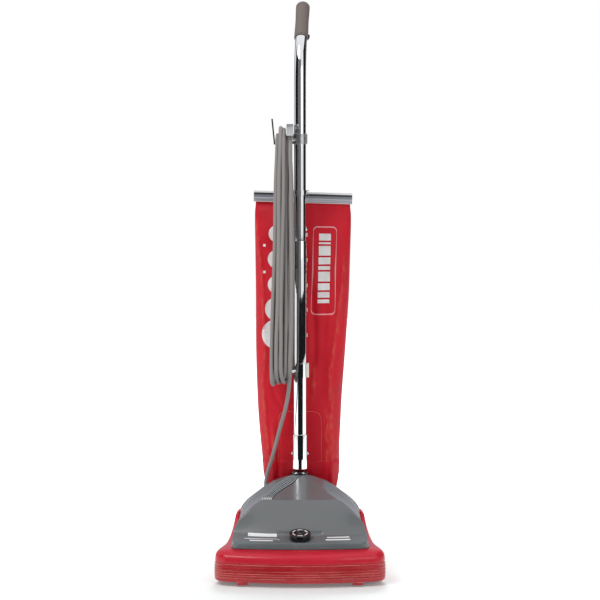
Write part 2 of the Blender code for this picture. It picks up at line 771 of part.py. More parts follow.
def brush_roll():
    end = BRUSH_HALF_LENGTH - 2 * GAP
    half = [
        (PULLEY_GROOVE_RADIUS, GROOVE_HALF_WIDTH), (BRUSH_RADIUS, GROOVE_HALF_WIDTH),
        (BRUSH_RADIUS, ROLL_HALF_LENGTH), (JOURNAL_RADIUS, ROLL_HALF_LENGTH),
        (JOURNAL_RADIUS, end), (0.0, end),
    ]
    profile = [(r, -x) for r, x in reversed(half)] + half
    return along_x(turned("brush_roll", profile, wood()), (0, *BRUSH_AXIS))


def bristle_strip(side, start_angle, name):
    """A row of bristles wound along half of the roll, shown as one solid rib."""
    steps, twist = 10, math.radians(75)
    low = GROOVE_HALF_WIDTH + 0.004
    high = ROLL_HALF_LENGTH - 0.004
    base = BRUSH_RADIUS + GAP + 0.0003
    tip = BRUSH_RADIUS + BRISTLE_LENGTH
    rings = []
    for step in range(steps + 1):
        x = side * (low + (high - low) * step / steps)
        angle = start_angle + side * twist * step / steps
        ring = []
        for radius, half in ((base, -1), (tip, -0.8), (tip, 0.8), (base, 1)):
            a = angle + half * BRISTLE_WIDTH / 2 / BRUSH_RADIUS
            ring.append((x, BRUSH_AXIS[0] + radius * math.cos(a),
                         BRUSH_AXIS[1] + radius * math.sin(a)))
        rings.append(ring)
    return set_origin(lofted(name, rings, black_plastic()), (0, *BRUSH_AXIS))


def brush_cap(side, name):
    """The bearing plate at one end of the brush tunnel."""
    ring = pipe(name, TUNNEL_RADIUS - 0.001, JOURNAL_RADIUS + RUNNING_GAP, 0.0,
                CAP_THICKNESS, black_plastic())
    start = side * (BRUSH_HALF_LENGTH - GAP) - (CAP_THICKNESS if side > 0 else 0.0)
    along_x(ring, (start, *BRUSH_AXIS))
    room = CUT_REACH
    low = box("floor", (-room, -room, -room), (room, room, BASE_BOTTOM), black_plastic())
    return combine(ring, [low], "DIFFERENCE")


def drive_belt():
    """The flat belt from the motor's pulley to the roll, with a quarter twist."""
    pulley = Vector((0, PULLEY_CENTRE, MOTOR_HEIGHT))
    roll = Vector((0, *BRUSH_AXIS))
    half = BELT_THICKNESS / 2
    small = PULLEY_RADIUS + RUNNING_GAP + half
    large = PULLEY_GROOVE_RADIUS + RUNNING_GAP + half
    frames = []
    for step in range(9):
        angle = math.pi * step / 8
        out = Vector((-math.cos(angle), 0, math.sin(angle)))
        frames.append((pulley + out * small, out, Vector((0, 1, 0))))
    around = []
    span = pulley - roll
    open_angle = math.acos(large / span.length)
    first_angle = math.atan2(span.z, span.y) - open_angle
    for step in range(13):
        angle = first_angle - (math.tau - 2 * open_angle) * step / 12
        out = Vector((0, math.cos(angle), math.sin(angle)))
        around.append((roll + out * large, out, Vector((-1, 0, 0))))

    def strand(first, last):
        """The free stretch between two tangent points, turning as it goes."""
        made = []
        for step in range(1, 6):
            share = step / 6
            out = (first[1] * (1 - share) + last[1] * share).normalized()
            along = (last[0] - first[0]).normalized()
            out = (out - along * out.dot(along)).normalized()
            made.append((first[0].lerp(last[0], share), out, along.cross(out)))
        return made

    loop = frames + strand(frames[-1], around[0]) + around + strand(around[-1], frames[0])
    rings = []
    width = loop[0][2]
    for place, out, across in loop:
        if across.dot(width) < 0:
            across = -across
        width = across
        rings.append([place + out * half * a + across * BELT_WIDTH / 2 * b
                      for a, b in ((-1, -1), (1, -1), (1, 1), (-1, 1))])
    return lofted("drive_belt", rings, black_rubber(), closed=True)


def motor_can():
    """The motor's casing: a cup with a hole for the shaft in its front wall."""
    length = MOTOR_REAR - MOTOR_FRONT
    wall, bore = MOTOR_WALL, SHAFT_RADIUS + 0.0025
    profile = [(bore, 0), (MOTOR_RADIUS, 0), (MOTOR_RADIUS, length),
               (MOTOR_RADIUS - wall, length), (MOTOR_RADIUS - wall, wall), (bore, wall)]
    made = turned("motor_can", profile, black_plastic(), closed=True)
    return along_y(made, (0, MOTOR_FRONT, MOTOR_HEIGHT))


def motor_end_cap():
    """The rear cover of the motor, with the shaft's bearing in it."""
    bore = SHAFT_RADIUS + RUNNING_GAP
    profile = [(bore, 0), (MOTOR_RADIUS, 0), (MOTOR_RADIUS - 0.003, 0.006),
               (0.012, 0.006), (0.011, 0.009), (bore, 0.009)]
    made = turned("motor_end_cap", profile, black_plastic(), closed=True)
    return along_y(made, (0, MOTOR_REAR + GAP, MOTOR_HEIGHT))


def motor_bracket():
    """The saddle that carries the motor on the floor of the base."""
    return box("motor_bracket", (-0.032, 0.020, FLOOR_TOP + GAP),
               (0.032, 0.076, MOTOR_HEIGHT - MOTOR_RADIUS - GAP), steel())


def fan_housing():
    wall, depth, radius = 0.002, FAN_HOUSING_DEPTH, FAN_HOUSING_RADIUS
    inlet, bore = 0.028, SHAFT_RADIUS + 0.0025
    profile = [(inlet, 0), (radius, 0), (radius, depth), (bore, depth),
               (bore, depth - wall), (radius - wall, depth - wall),
               (radius - wall, wall), (inlet, wall)]
    made = turned("fan_housing", profile, grey_plastic(), closed=True)
    return along_y(made, (0, FAN_FRONT, MOTOR_HEIGHT))


def motor_shaft():
    start, end = PULLEY_CENTRE - 0.008, MOTOR_REAR + 0.0075
    return rod("motor_shaft", (0, start, MOTOR_HEIGHT), (0, end, MOTOR_HEIGHT),
               SHAFT_RADIUS, steel())


def on_shaft(name, outer, low, high, material):
    """A round piece fixed on the motor's shaft."""
    made = pipe(name, outer, SHAFT_RADIUS + GAP, 0.0, high - low, material)
    return along_y(made, (0, low, MOTOR_HEIGHT))


def fan():
    low, high = FAN_FRONT + 0.010, FAN_FRONT + 0.028
    plate, hub, radius = 0.003, 0.012, FAN_HOUSING_RADIUS - 0.008
    bore, depth = SHAFT_RADIUS + GAP, high - low
    profile = [(bore, 0), (hub, 0), (hub, depth - plate), (radius, depth - plate),
               (radius, depth), (bore, depth)]
    made = along_y(turned("fan", profile, steel(), closed=True), (0, low, MOTOR_HEIGHT))
    blades = []
    for k in range(6):
        blade = box("blade", (hub - 0.0015, low + 0.001, -0.0008),
                    (radius - 0.003, high - plate / 2, 0.0008), steel())
        blade.matrix_world = Matrix.Translation((0, 0, MOTOR_HEIGHT)) @ Matrix.Rotation(
            math.tau * k / 6, 4, "Y")
        blades.append(blade)
    return combine(made, blades, "UNION")


def exhaust_duct():
    """The duct over the motor, from the fan housing to the port under the bag."""
    angle = math.radians(PORT_ANGLE)
    away = Vector((0, math.sin(angle), math.cos(angle)))
    mouth = PIVOT + away * PORT_DISTANCE
    rise = math.radians(90) - angle
    bend = (mouth.z - DUCT_HEIGHT) / (1 - math.cos(rise))
    bend_start = mouth.y - bend * math.sin(rise)
    path = [(0, MOTOR_FRONT, DUCT_HEIGHT)]
    for step in range(6):
        turn = rise * step / 5
        path.append((0, bend_start + bend * math.sin(turn),
                     DUCT_HEIGHT + bend * (1 - math.cos(turn))))
    return pipe_along("exhaust_duct", path, DUCT_RADIUS, DUCT_RADIUS - DUCT_WALL,
                      grey_plastic())


def pivot_pin(side, name):
    start = side * (MOTOR_RADIUS + GAP)
    end = side * (CAVITY_HALF_WIDTH - GAP)
    return rod(name, (start, PIVOT.y, PIVOT.z), (end, PIVOT.y, PIVOT.z),
               PIVOT_PIN_RADIUS, steel())


# ---- Wheels and height adjustment ------------------------------------------------
def wheel(name, centre, radius, width, bore):
    """A wheel with rounded edges and sunk faces, turning about X."""
    half, edge = width / 2, min(0.0025, width / 5)
    profile = [(bore, -half), (radius * 0.35, -half), (radius * 0.40, -half + 0.0015),
               (radius * 0.72, -half + 0.0015), (radius * 0.78, -half),
               (radius - edge, -half), (radius, -half + edge)]
    profile += [(r, -x) for r, x in reversed(profile)]
    return along_x(turned(name, profile, black_rubber(), closed=True), centre)


def rear_wheel(side, name):
    centre = (side * REAR_WHEEL_X, REAR_AXLE_Y, REAR_WHEEL_RADIUS)
    return wheel(name, centre, REAR_WHEEL_RADIUS, REAR_WHEEL_WIDTH,
                 REAR_AXLE_RADIUS + RUNNING_GAP)


def rear_axle():
    half = REAR_WHEEL_X + REAR_WHEEL_WIDTH / 2
    head = [(0, half + 0.0032), (0.0065, half + 0.0025), (0.0065, half + 0.0004),
            (REAR_AXLE_RADIUS, half + 0.0004)]
    profile = [(r, -x) for r, x in head] + list(reversed(head))
    made = turned("rear_axle", profile, steel(), sides=SMALL_SIDES)
    return along_x(made, (0, REAR_AXLE_Y, REAR_WHEEL_RADIUS))


def front_wheel(side, name):
    centre = (side * FRONT_WHEEL_X, FRONT_AXLE_Y, FRONT_WHEEL_RADIUS)
    return wheel(name, centre, FRONT_WHEEL_RADIUS, FRONT_WHEEL_WIDTH,
                 FRONT_AXLE_RADIUS + RUNNING_GAP)


def front_axle():
    half = FRONT_WHEEL_X + FRONT_WHEEL_WIDTH / 2 + 0.0075
    place = (FRONT_AXLE_Y, FRONT_WHEEL_RADIUS)
    return rod("front_axle", (-half, *place), (half, *place), FRONT_AXLE_RADIUS, steel())


def wheel_carriage():
    """The yoke of the front wheels, with the arm that the height knob presses."""
    front, back = CAVITY_FRONT + GAP, CAVITY_FRONT + GAP + 0.003
    inner = FRONT_WHEEL_X + FRONT_WHEEL_WIDTH / 2 + 0.0008
    outer = inner + 0.004
    made = box("wheel_carriage", (-outer, front, 0.0180), (outer, back, 0.0380), steel())
    parts = [
        box("post", (0.0205, front, 0.0370), (0.0280, back, PAD_TOP), steel()),
        box("arm", (0.0205, KNOB_CENTRE.y - 0.005, PAD_TOP - 0.0028),
            (0.0280, front + 0.001, PAD_TOP), steel()),
        box("pad", (0.0065, KNOB_CENTRE.y - 0.005, PAD_TOP - 0.0028),
            (0.0210, KNOB_CENTRE.y + 0.003, PAD_TOP), steel()),
    ]
    for side in (-1, 1):
        low, high = sorted((side * inner, side * outer))
        parts.append(box("lug", (low, front + 0.001, 0.0110),
                         (high, FRONT_AXLE_Y + 0.005, 0.0260), steel()))
    combine(made, parts, "UNION")
    bore = rod("bore", (-CUT_REACH, FRONT_AXLE_Y, FRONT_WHEEL_RADIUS),
               (CUT_REACH, FRONT_AXLE_Y, FRONT_WHEEL_RADIUS), FRONT_AXLE_RADIUS + GAP, steel())
    return combine(made, [bore], "DIFFERENCE")


def height_knob():
    """The knob on the hood; a ramp under its stem presses the carriage down."""
    sides = 36
    stem_end = -(KNOB_CENTRE.z - PAD_TOP) + 0.0022
    lead_in = math.radians(30)
    full = math.radians(KNOB_TURN + 30)

    def ramp(angle):
        back = (-angle) % math.tau
        if back < lead_in or back > full + math.radians(1):
            return 0.0
        return HEIGHT_TRAVEL * (back - lead_in) / math.radians(KNOB_TURN)

    flat = stem_end - HEIGHT_TRAVEL
    profile = [
        (0.0125, KNOB_HEIGHT - 0.004, 0), (0.0135, KNOB_HEIGHT, 0),
        (0.0205, KNOB_HEIGHT, 0), (KNOB_RADIUS, KNOB_HEIGHT - 0.002, 0),
        (KNOB_RADIUS, 0.0015, 0), (STEM_RADIUS, 0.0015, 0), (STEM_RADIUS, stem_end, 1),
        (0.0055, stem_end, 1), (0.0045, flat, 0),
    ]
    mesh = bmesh.new()
    rings = []
    for radius, height, sloped in profile:
        ring = []
        for k in range(sides):
            angle = math.tau * k / sides
            drop = ramp(angle) if sloped else 0.0
            ring.append(mesh.verts.new((radius * math.cos(angle),
                                        radius * math.sin(angle), height - drop)))
        rings.append(ring)
    for ring, following in zip(rings, rings[1:]):
        for k in range(sides):
            nxt = (k + 1) % sides
            mesh.faces.new((ring[k], ring[nxt], following[nxt], following[k]))
    mesh.faces.new(rings[0])
    mesh.faces.new(rings[-1])
    made = object_from_bmesh("height_knob", mesh, black_plastic())
    made.location = KNOB_CENTRE
    made.rotation_euler = (math.radians(KNOB_TILT), 0, 0)
    return made


# ---- Release pedal ---------------------------------------------------------------


def pedal_pin():
    """The pin of the release pedal, headed at both ends."""
    half = PEDAL_WIDTH / 2 + 0.005
    return rod("pedal_pin", PEDAL_PIN - Vector((half, 0, 0)),
               PEDAL_PIN + Vector((half, 0, 0)), PEDAL_PIN_RADIUS, steel())


def release_pedal():
    """The foot pedal at the rear that lets the handle down."""
    half = PEDAL_WIDTH / 2
    y, z = PEDAL_PIN.y, PEDAL_PIN.z
    outline = filleted([(y - 0.0050, z - 0.0045, 0.002, 2), (y + 0.006, z - 0.0045, 0.002, 2),
                        (y + PEDAL_REACH, z + 0.003, 0.001, 2),
                        (y + PEDAL_REACH, z + 0.008, 0.001, 2),
                        (y + 0.004, z + 0.0065, 0.002, 2), (y - 0.0050, z + 0.0055, 0.002, 2)])
    made = prism("release_pedal", outline, "X", PEDAL_X - half, PEDAL_X + half,
                 black_plastic())
    bore = rod("bore", (-CUT_REACH, y, z), (CUT_REACH, y, z), PEDAL_PIN_RADIUS + RUNNING_GAP,
               black_plastic())
    combine(made, [bore], "DIFFERENCE")
    return set_origin(made, PEDAL_PIN)


# ---- Handle ----------------------------------------------------------------------


def handle_bail():
    """The fork that straddles the motor and carries the tubes."""
    chrome_steel = chrome()
    path = [(-BAIL_HALF_WIDTH, PIVOT.y, PIVOT.z + 0.006)]
    for step in range(13):
        angle = math.pi * step / 12
        path.append((-BAIL_HALF_WIDTH * math.cos(angle), PIVOT.y,
                     BAIL_SHOULDER + (BAIL_CROWN - BAIL_SHOULDER) * math.sin(angle)))
    path.append((BAIL_HALF_WIDTH, PIVOT.y, PIVOT.z + 0.006))
    made = bar_along("handle_bail", path, BAIL_ROD_RADIUS, chrome_steel)
    crown = BAIL_CROWN
    socket = LOWER_TUBE_RADIUS - TUBE_WALL - GAP
    parts = [
        rod("foot", (0, PIVOT.y, crown - 0.004), (0, PIVOT.y, FOOT_TOP),
            LOWER_TUBE_RADIUS, chrome_steel, SIDES),
        rod("spigot", (0, PIVOT.y, crown), (0, PIVOT.y, SPIGOT_TOP), socket,
            chrome_steel, SIDES),
        box("bracket", (-0.0845, PIVOT.y + 0.002, RELIEF_BOTTOM),
            (-0.0680, RELIEF_CENTRE.y - RELIEF_RADIUS - GAP, RELIEF_BOTTOM + 0.010),
            chrome_steel),
    ]
    for side in (-1, 1):
        low, high = (side * BAIL_HALF_WIDTH + k * EYE_WIDTH / 2 for k in (-1, 1))
        parts.append(rod("eye", (low, PIVOT.y, PIVOT.z), (high, PIVOT.y, PIVOT.z),
                         EYE_RADIUS, chrome_steel, SIDES))
    combine(made, parts, "UNION")
    bore = rod("bore", (-CUT_REACH, PIVOT.y, PIVOT.z), (CUT_REACH, PIVOT.y, PIVOT.z),
               PIVOT_PIN_RADIUS + RUNNING_GAP, chrome_steel)
    return combine(made, [bore], "DIFFERENCE")


def straight_tube(name, radius, low, high, bolt_heights):
    """A tube of the handle, drilled across for each bolt."""
    made = pipe(name, radius, radius - TUBE_WALL, low, high, chrome())
    made.location = (0, PIVOT.y, 0)
    drills = [bolt_hole(height) for height in bolt_heights]
    return combine(made, drills, "DIFFERENCE")


def bolt_hole(height):
    return rod("drill", (-0.05, PIVOT.y, height), (0.05, PIVOT.y, height),
               BOLT_RADIUS + GAP, chrome())


def lower_tube():
    return straight_tube("lower_tube", LOWER_TUBE_RADIUS, FOOT_TOP + GAP,
                         LOWER_TUBE_TOP, [LOW_BOLT])


def middle_tube():
    return straight_tube("middle_tube", MIDDLE_TUBE_RADIUS, LOWER_TUBE_TOP - TUBE_OVERLAP,
                         MIDDLE_TUBE_TOP, [LOW_BOLT])


def lean_direction():
    """The direction of the leaning grip, and the level direction it leans to."""
    twist, lean = math.radians(HANDLE_TWIST), math.radians(HANDLE_LEAN)
    back = Vector((math.sin(twist), math.cos(twist), 0))
    return back * math.sin(lean) + Vector((0, 0, math.cos(lean))), back


def bend_point(angle):
    """The centre of the upper tube at an angle round its bend."""
    _, back = lean_direction()
    return (Vector((0, PIVOT.y, BEND_START)) + back * BEND_RADIUS * (1 - math.cos(angle))
            + Vector((0, 0, BEND_RADIUS * math.sin(angle))))


def grip_foot():
    return bend_point(math.radians(HANDLE_LEAN))


def upper_tube():
    path = [Vector((0, PIVOT.y, MIDDLE_TUBE_TOP - TUBE_OVERLAP))]
    steps = 6
    for step in range(steps + 1):
        path.append(bend_point(math.radians(HANDLE_LEAN) * step / steps))
    along, _ = lean_direction()
    path.append(grip_foot() + along * (GRIP_SOCKET - GAP))
    made = pipe_along("upper_tube", path, UPPER_TUBE_RADIUS,
                      UPPER_TUBE_RADIUS - TUBE_WALL, chrome())
    return combine(made, [bolt_hole(HIGH_BOLT)], "DIFFERENCE")


def handle_grip():
    """The plastic grip, a cap with a socket for the end of the tube."""
    bore = UPPER_TUBE_RADIUS + GAP
    radius, length = GRIP_RADIUS, GRIP_LENGTH
    profile = [(0, GRIP_SOCKET), (bore, GRIP_SOCKET), (bore, 0), (radius - 0.001, 0),
               (radius, 0.003), (radius, length - 0.012)]
    for step in range(1, 5):
        angle = math.radians(90 * step / 4)
        profile.append((radius * math.cos(angle) if step < 4 else 0.0,
                        length - 0.012 + 0.012 * math.sin(angle)))
    made = turned("handle_grip", profile, grip_plastic())
    along, _ = lean_direction()
    return turn_to(made, grip_foot(), along)


def power_switch():
    """The sliding switch on the right rear side of the grip."""
    along, back = lean_direction()
    right = Vector((back.y, -back.x, 0))
    behind = along.cross(right)
    behind = behind if behind.y > 0 else -behind
    out = (right * math.cos(math.radians(25)) + behind * math.sin(math.radians(25)))
    across = along.cross(out)
    seat = GRIP_RADIUS + 0.0004
    rings = []
    for share, height in ((0.0, 0.0012), (0.2, 0.0030), (0.8, 0.0034), (1.0, 0.0016)):
        start = grip_foot() + along * (SWITCH_START + SWITCH_LENGTH * share)
        rings.append([start + out * (seat + up) + across * 0.0035 * wide
                      for up, wide in ((0, -1), (0, 1), (height, 0.8), (height, -0.8))])
    return set_origin(lofted("power_switch", rings, black_plastic()), grip_foot())


def tube_bolt(name, height, tube_radius):
    """A bolt through the handle's tubes, with a low round head at each end."""
    half = tube_radius + GAP
    head = [(0, half + 0.0028), (0.0030, half + 0.0022), (0.0042, half + 0.0010),
            (0.0042, half), (BOLT_RADIUS, half)]
    profile = [(r, -x) for r, x in head] + list(reversed(head))
    made = turned(name, profile, steel(), sides=SMALL_SIDES)
    return along_x(made, (0, PIVOT.y, height))


# ---- Cord hooks ------------------------------------------------------------------
def hank_gap_height(height_centre, sign):
    """Height of the inner fold of the hank above or below its fold's centre."""
    return height_centre + sign * HANK_INNER_RADIUS


def clamp_collar(name, tube_radius, band, material):
    """The left part of a collar round the handle's tube."""
    made = pipe(name, tube_radius + 0.0021, tube_radius + GAP, band[0], band[1], material)
    made.location = (0, PIVOT.y, 0)
    right = box("right", (0.0098, -0.3, 0.0), (0.3, 0.3, 2.0), material)
    return combine(made, [right], "DIFFERENCE")


def clamp_block(name, tube_radius, outer, band, material):
    """The block on the right of a tube, which closes the clamp."""
    made = box(name, (0.0101, PIVOT.y - 0.007, band[0]),
               (outer, PIVOT.y + 0.010, band[1]), material)
    tube = rod("tube", (0, PIVOT.y, 0), (0, PIVOT.y, 2.0), tube_radius + GAP,
               material, SIDES)
    return combine(made, [tube], "DIFFERENCE")


def hook_arm(height, tube_radius, end):
    """The bar from a clamp out through the hank."""
    reach = tube_radius + 0.0012
    path = [(-reach * 0.72, PIVOT.y - reach * 0.72, height),
            (HANK_RIGHT + 0.0028, HANK_CENTRE_Y + 0.0018, height),
            (HANK_RIGHT - 0.0020, HANK_CENTRE_Y, height), (end, HANK_CENTRE_Y, height)]
    return bar_along("arm", path, HOOK_ROD_RADIUS, chrome())


def upper_hook():
    """The upper cord bracket: collar, arm and the flange over the inner turns."""
    top = hank_gap_height(HANK_TOP_CENTRE, 1)
    made = clamp_collar("hook_bracket_upper", UPPER_TUBE_RADIUS, UPPER_CLAMP, chrome())
    arm = hook_arm(top - HOOK_ROD_RADIUS - 0.0005, UPPER_TUBE_RADIUS,
                   HANK_LEFT_AT_TOP - 0.0005)
    outer = HANK_INNER_RADIUS + (HANK_LAYERS - 1) * HANK_PITCH + CORD_DIAMETER + 0.0006
    band = []
    for radius, sweep in ((outer, range(9)), (outer + 0.003, range(8, -1, -1))):
        for step in sweep:
            angle = math.radians(150 - 85 * step / 8)
            band.append((HANK_CENTRE_Y + radius * math.cos(angle),
                         HANK_TOP_CENTRE + radius * math.sin(angle)))
    flange = prism("flange", band, "X", HANK_RIGHT - 0.0105, HANK_RIGHT + 0.0040, chrome())
    link = box("link", (HANK_RIGHT + 0.0012, PIVOT.y - 0.005, UPPER_CLAMP[0]),
               (HANK_RIGHT + 0.0040, PIVOT.y + 0.0010, HANK_TOP_CENTRE + outer - 0.0035),
               chrome())
    return combine(made, [arm, flange, link], "UNION")


def hook_finger():
    """The black end of the upper hook, which keeps the turns on the bracket."""
    top = hank_gap_height(HANK_TOP_CENTRE, 1)
    start = Vector((HANK_LEFT_AT_TOP - 0.0019, HANK_CENTRE_Y, top - 0.014))
    end = Vector((HANK_LEFT_AT_TOP - 0.0072, HANK_CENTRE_Y, top + 0.0405))
    return rod("hook_finger", start, end, 0.0017, black_plastic())


def lower_hook():
    bottom = hank_gap_height(HANK_BOTTOM_CENTRE, -1)
    made = clamp_collar("hook_bracket_lower", MIDDLE_TUBE_RADIUS, LOWER_CLAMP, chrome())
    arm = hook_arm(bottom + HOOK_ROD_RADIUS + 0.0005, MIDDLE_TUBE_RADIUS,
                   HANK_LEFT + 0.001)
    return combine(made, [arm], "UNION")


# ---- Cord ------------------------------------------------------------------------
def racetrack(radius):
    """An upright outline with round ends, in Y and Z."""
    points = []
    for centre, start in ((HANK_TOP_CENTRE, 0.0), (HANK_BOTTOM_CENTRE, math.pi)):
        for step in range(11):
            angle = start + math.pi * step / 10
            points.append((HANK_CENTRE_Y + radius * math.cos(angle),
                           centre + radius * math.sin(angle)))
    return points


def cord_hank():
    """The outer shape of the cord wound round the two hooks."""
    outer = HANK_INNER_RADIUS + (HANK_LAYERS - 1) * HANK_PITCH + CORD_DIAMETER
    made = prism("cord_hank", racetrack(outer), "X", HANK_LEFT, HANK_RIGHT, cord_vinyl())
    hole = prism("hole", racetrack(HANK_INNER_RADIUS), "X", -CUT_REACH, CUT_REACH, cord_vinyl())
    combine(made, [hole], "DIFFERENCE")
    low, high = HANK_BOTTOM_CENTRE - outer, HANK_TOP_CENTRE + outer
    lean = (HANK_LEFT_AT_TOP - HANK_LEFT) / (high - low)
    middle = (HANK_LEFT + HANK_RIGHT) / 2
    for vert in made.data.vertices:
        if vert.co.x < middle:
            vert.co.x += lean * (vert.co.z - low)
    return made


def smooth_route(points, spacing):
    """Points at even steps along a smooth curve through a cord's own points."""
    points = [Vector(point) for point in points]
    padded = [2 * points[0] - points[1]] + points + [2 * points[-1] - points[-2]]
    fine = []
    for index in range(len(points) - 1):
        a, b, c, d = padded[index:index + 4]
        for step in range(20):
            t = step / 20
            fine.append(0.5 * (2 * b + (c - a) * t + (2 * a - 5 * b + 4 * c - d) * t * t
                               + (3 * b - a - 3 * c + d) * t ** 3))
    fine.append(points[-1])
    lengths = [0.0]
    for before, after in zip(fine, fine[1:]):
        lengths.append(lengths[-1] + (after - before).length)
    count = max(2, round(lengths[-1] / spacing))
    route, index = [], 0
    for step in range(count + 1):
        wanted = lengths[-1] * step / count
        while index < len(lengths) - 2 and lengths[index + 1] < wanted:
            index += 1
        span = lengths[index + 1] - lengths[index]
        share = min(max((wanted - lengths[index]) / span, 0.0), 1.0)
        route.append(fine[index].lerp(fine[index + 1], share))
    return route


def cord_lead():
    """The cord from the lower fold of the hank to the strain relief."""
    route = smooth_route(LEAD_POINTS, 3 * CORD_DIAMETER)
    data = bpy.data.curves.new("cord_lead", "CURVE")
    data.dimensions = "3D"
    data.bevel_depth = CORD_DIAMETER / 2
    data.bevel_resolution = 2
    data.use_fill_caps = True
    spline = data.splines.new("POLY")
    spline.points.add(len(route) - 1)
    for point, place in zip(spline.points, route):
        point.co = (*place, 1.0)
    data.materials.append(cord_vinyl())
    made = bpy.data.objects.new("cord_lead", data)
    bpy.context.collection.objects.link(made)
    return made


def strain_relief():
    """The rubber sleeve on the bail where the cord enters the machine."""
    low, high = RELIEF_BOTTOM, RELIEF_TOP
    profile = [(0, low), (RELIEF_RADIUS, low), (RELIEF_RADIUS, low + 0.012),
               (0.0062, low + 0.014), (0.0056, high), (0, high)]
    made = turned("strain_relief", profile, black_rubber(), sides=SMALL_SIDES)
    made.location = RELIEF_CENTRE
    return made


def cord_plug():
    """The plug, tucked behind the front turns of the hank."""
    front = HANK_CENTRE_Y - HANK_INNER_RADIUS + GAP + 0.0002
    middle = (HANK_LEFT + HANK_RIGHT) / 2
    outline = filleted([(middle - 0.013, front, 0.004, 3), (middle + 0.013, front, 0.004, 3),
                        (middle + 0.013, front + 0.022, 0.006, 3),
                        (middle - 0.013, front + 0.022, 0.006, 3)])
    made = prism("cord_plug", outline, "Z", PLUG_TOP - PLUG_LENGTH, PLUG_TOP,
                 black_rubber())
    centre = front + 0.011
    parts = [rod("neck", (middle, centre, PLUG_TOP - 0.002),
                 (middle, centre, PLUG_TOP + 0.016), 0.0052, black_rubber())]
    bottom = PLUG_TOP - PLUG_LENGTH
    for side in (-1, 1):
        x = middle + side * 0.00635
        parts.append(box("blade", (x - 0.0008, centre - 0.0032, bottom - 0.017),
                         (x + 0.0008, centre + 0.0032, bottom + 0.002), black_rubber()))
    return combine(made, parts, "UNION")


# ---- Bag -------------------------------------------------------------------------


def bag_body():
    """The cloth bag as one solid, flat at its clip and hollowed over the port."""
    tilt = math.tan(math.radians(BAG_CLIP_TILT))
    rings = []
    for height, left, right, front, rear in BAG_LEVELS:
        middle, half = (left + right) / 2, (right - left) / 2
        centre, depth = (front + rear) / 2, (rear - front) / 2
        lean = tilt * min(max((height - 0.66) / 0.1, 0.0), 1.0)
        ring = []
        for k in range(BAG_POINTS):
            angle = math.tau * k / BAG_POINTS
            across = math.copysign(abs(math.cos(angle)) ** 0.7, math.cos(angle))
            deep = math.copysign(abs(math.sin(angle)) ** 0.7, math.sin(angle))
            x = middle + half * across
            ring.append((x, centre + depth * deep,
                         height - lean * (x - BAG_CLIP_CENTRE.x)))
        rings.append(ring)
    made = lofted("bag_body", rings, red_cloth())
    sweep = rod("sweep", (-CUT_REACH, PIVOT.y, PIVOT.z), (CUT_REACH, PIVOT.y, PIVOT.z),
                BAG_SWEEP_RADIUS, red_cloth(), 64)
    return combine(made, [sweep], "DIFFERENCE")


def bag_cuff():
    """The ring in the bottom of the bag that stands over the exhaust port."""
    angle = math.radians(PORT_ANGLE)
    away = Vector((0, math.sin(angle), math.cos(angle)))
    made = pipe("bag_cuff", CUFF_RADIUS, CUFF_BORE, PORT_DISTANCE + 0.0004,
                BAG_SWEEP_RADIUS - 0.0030, black_plastic(), 24)
    return turn_to(made, PIVOT, away)


def bag_clip():
    """The sprung channel that slides over the folded top of the bag."""
    deep, tall, wall = BAG_CLIP_DEPTH / 2, BAG_CLIP_HEIGHT / 2, BAG_CLIP_WALL
    catch = 0.004           # width of the trough that the hanger hooks into
    outline = [
        (deep, -tall), (deep, tall), (-deep, tall), (-deep, -0.0025),
        (-deep - catch, -0.0025), (-deep - catch, 0.003), (-deep - catch - wall, 0.003),
        (-deep - catch - wall, -0.004), (-deep, -0.004), (-deep, -tall),
        (-deep + wall, -tall), (-deep + wall, tall - wall), (deep - wall, tall - wall),
        (deep - wall, -tall),
    ]
    half = BAG_CLIP_LENGTH / 2
    made = prism("bag_clip", outline, "X", -half, half, chrome())
    made.location = BAG_CLIP_CENTRE
    made.rotation_euler = (0, math.radians(BAG_CLIP_TILT), 0)
    return made


def bag_hanger():
    """The hook on the handle's tube that the bag's clip hangs from."""
    height = BAG_CLIP_CENTRE.z + 0.012
    collar = pipe("bag_hanger", UPPER_TUBE_RADIUS + 0.0018, UPPER_TUBE_RADIUS + GAP,
                  height - 0.005, height + 0.005, chrome())
    collar.location = (0, PIVOT.y, 0)
    trough = BAG_CLIP_CENTRE.y - BAG_CLIP_DEPTH / 2 - 0.002
    x = 0.018
    arm = bar_along("arm", [(0.0095, PIVOT.y + 0.0098, height), (x, trough - 0.018, height + 0.004),
                            (x, trough - 0.002, height + 0.003), (x, trough, height),
                            (x, trough, BAG_CLIP_CENTRE.z - 0.0021 - 0.0004)],
                    0.0012, chrome(), 8)
    return combine(collar, [arm], "UNION")


# ---- Assembly --------------------------------------------------------------------
def group(name, place, members):
    """Parent pieces that move together to an empty on their joint's axis."""
    empty = bpy.data.objects.new(name, None)
    empty.location = place
    bpy.context.collection.objects.link(empty)
    bpy.context.view_layer.update()
    for member in members:
        kept = member.matrix_world.copy()
        member.parent = empty
        member.matrix_parent_inverse = empty.matrix_world.inverted()
        member.matrix_world = kept
    return empty


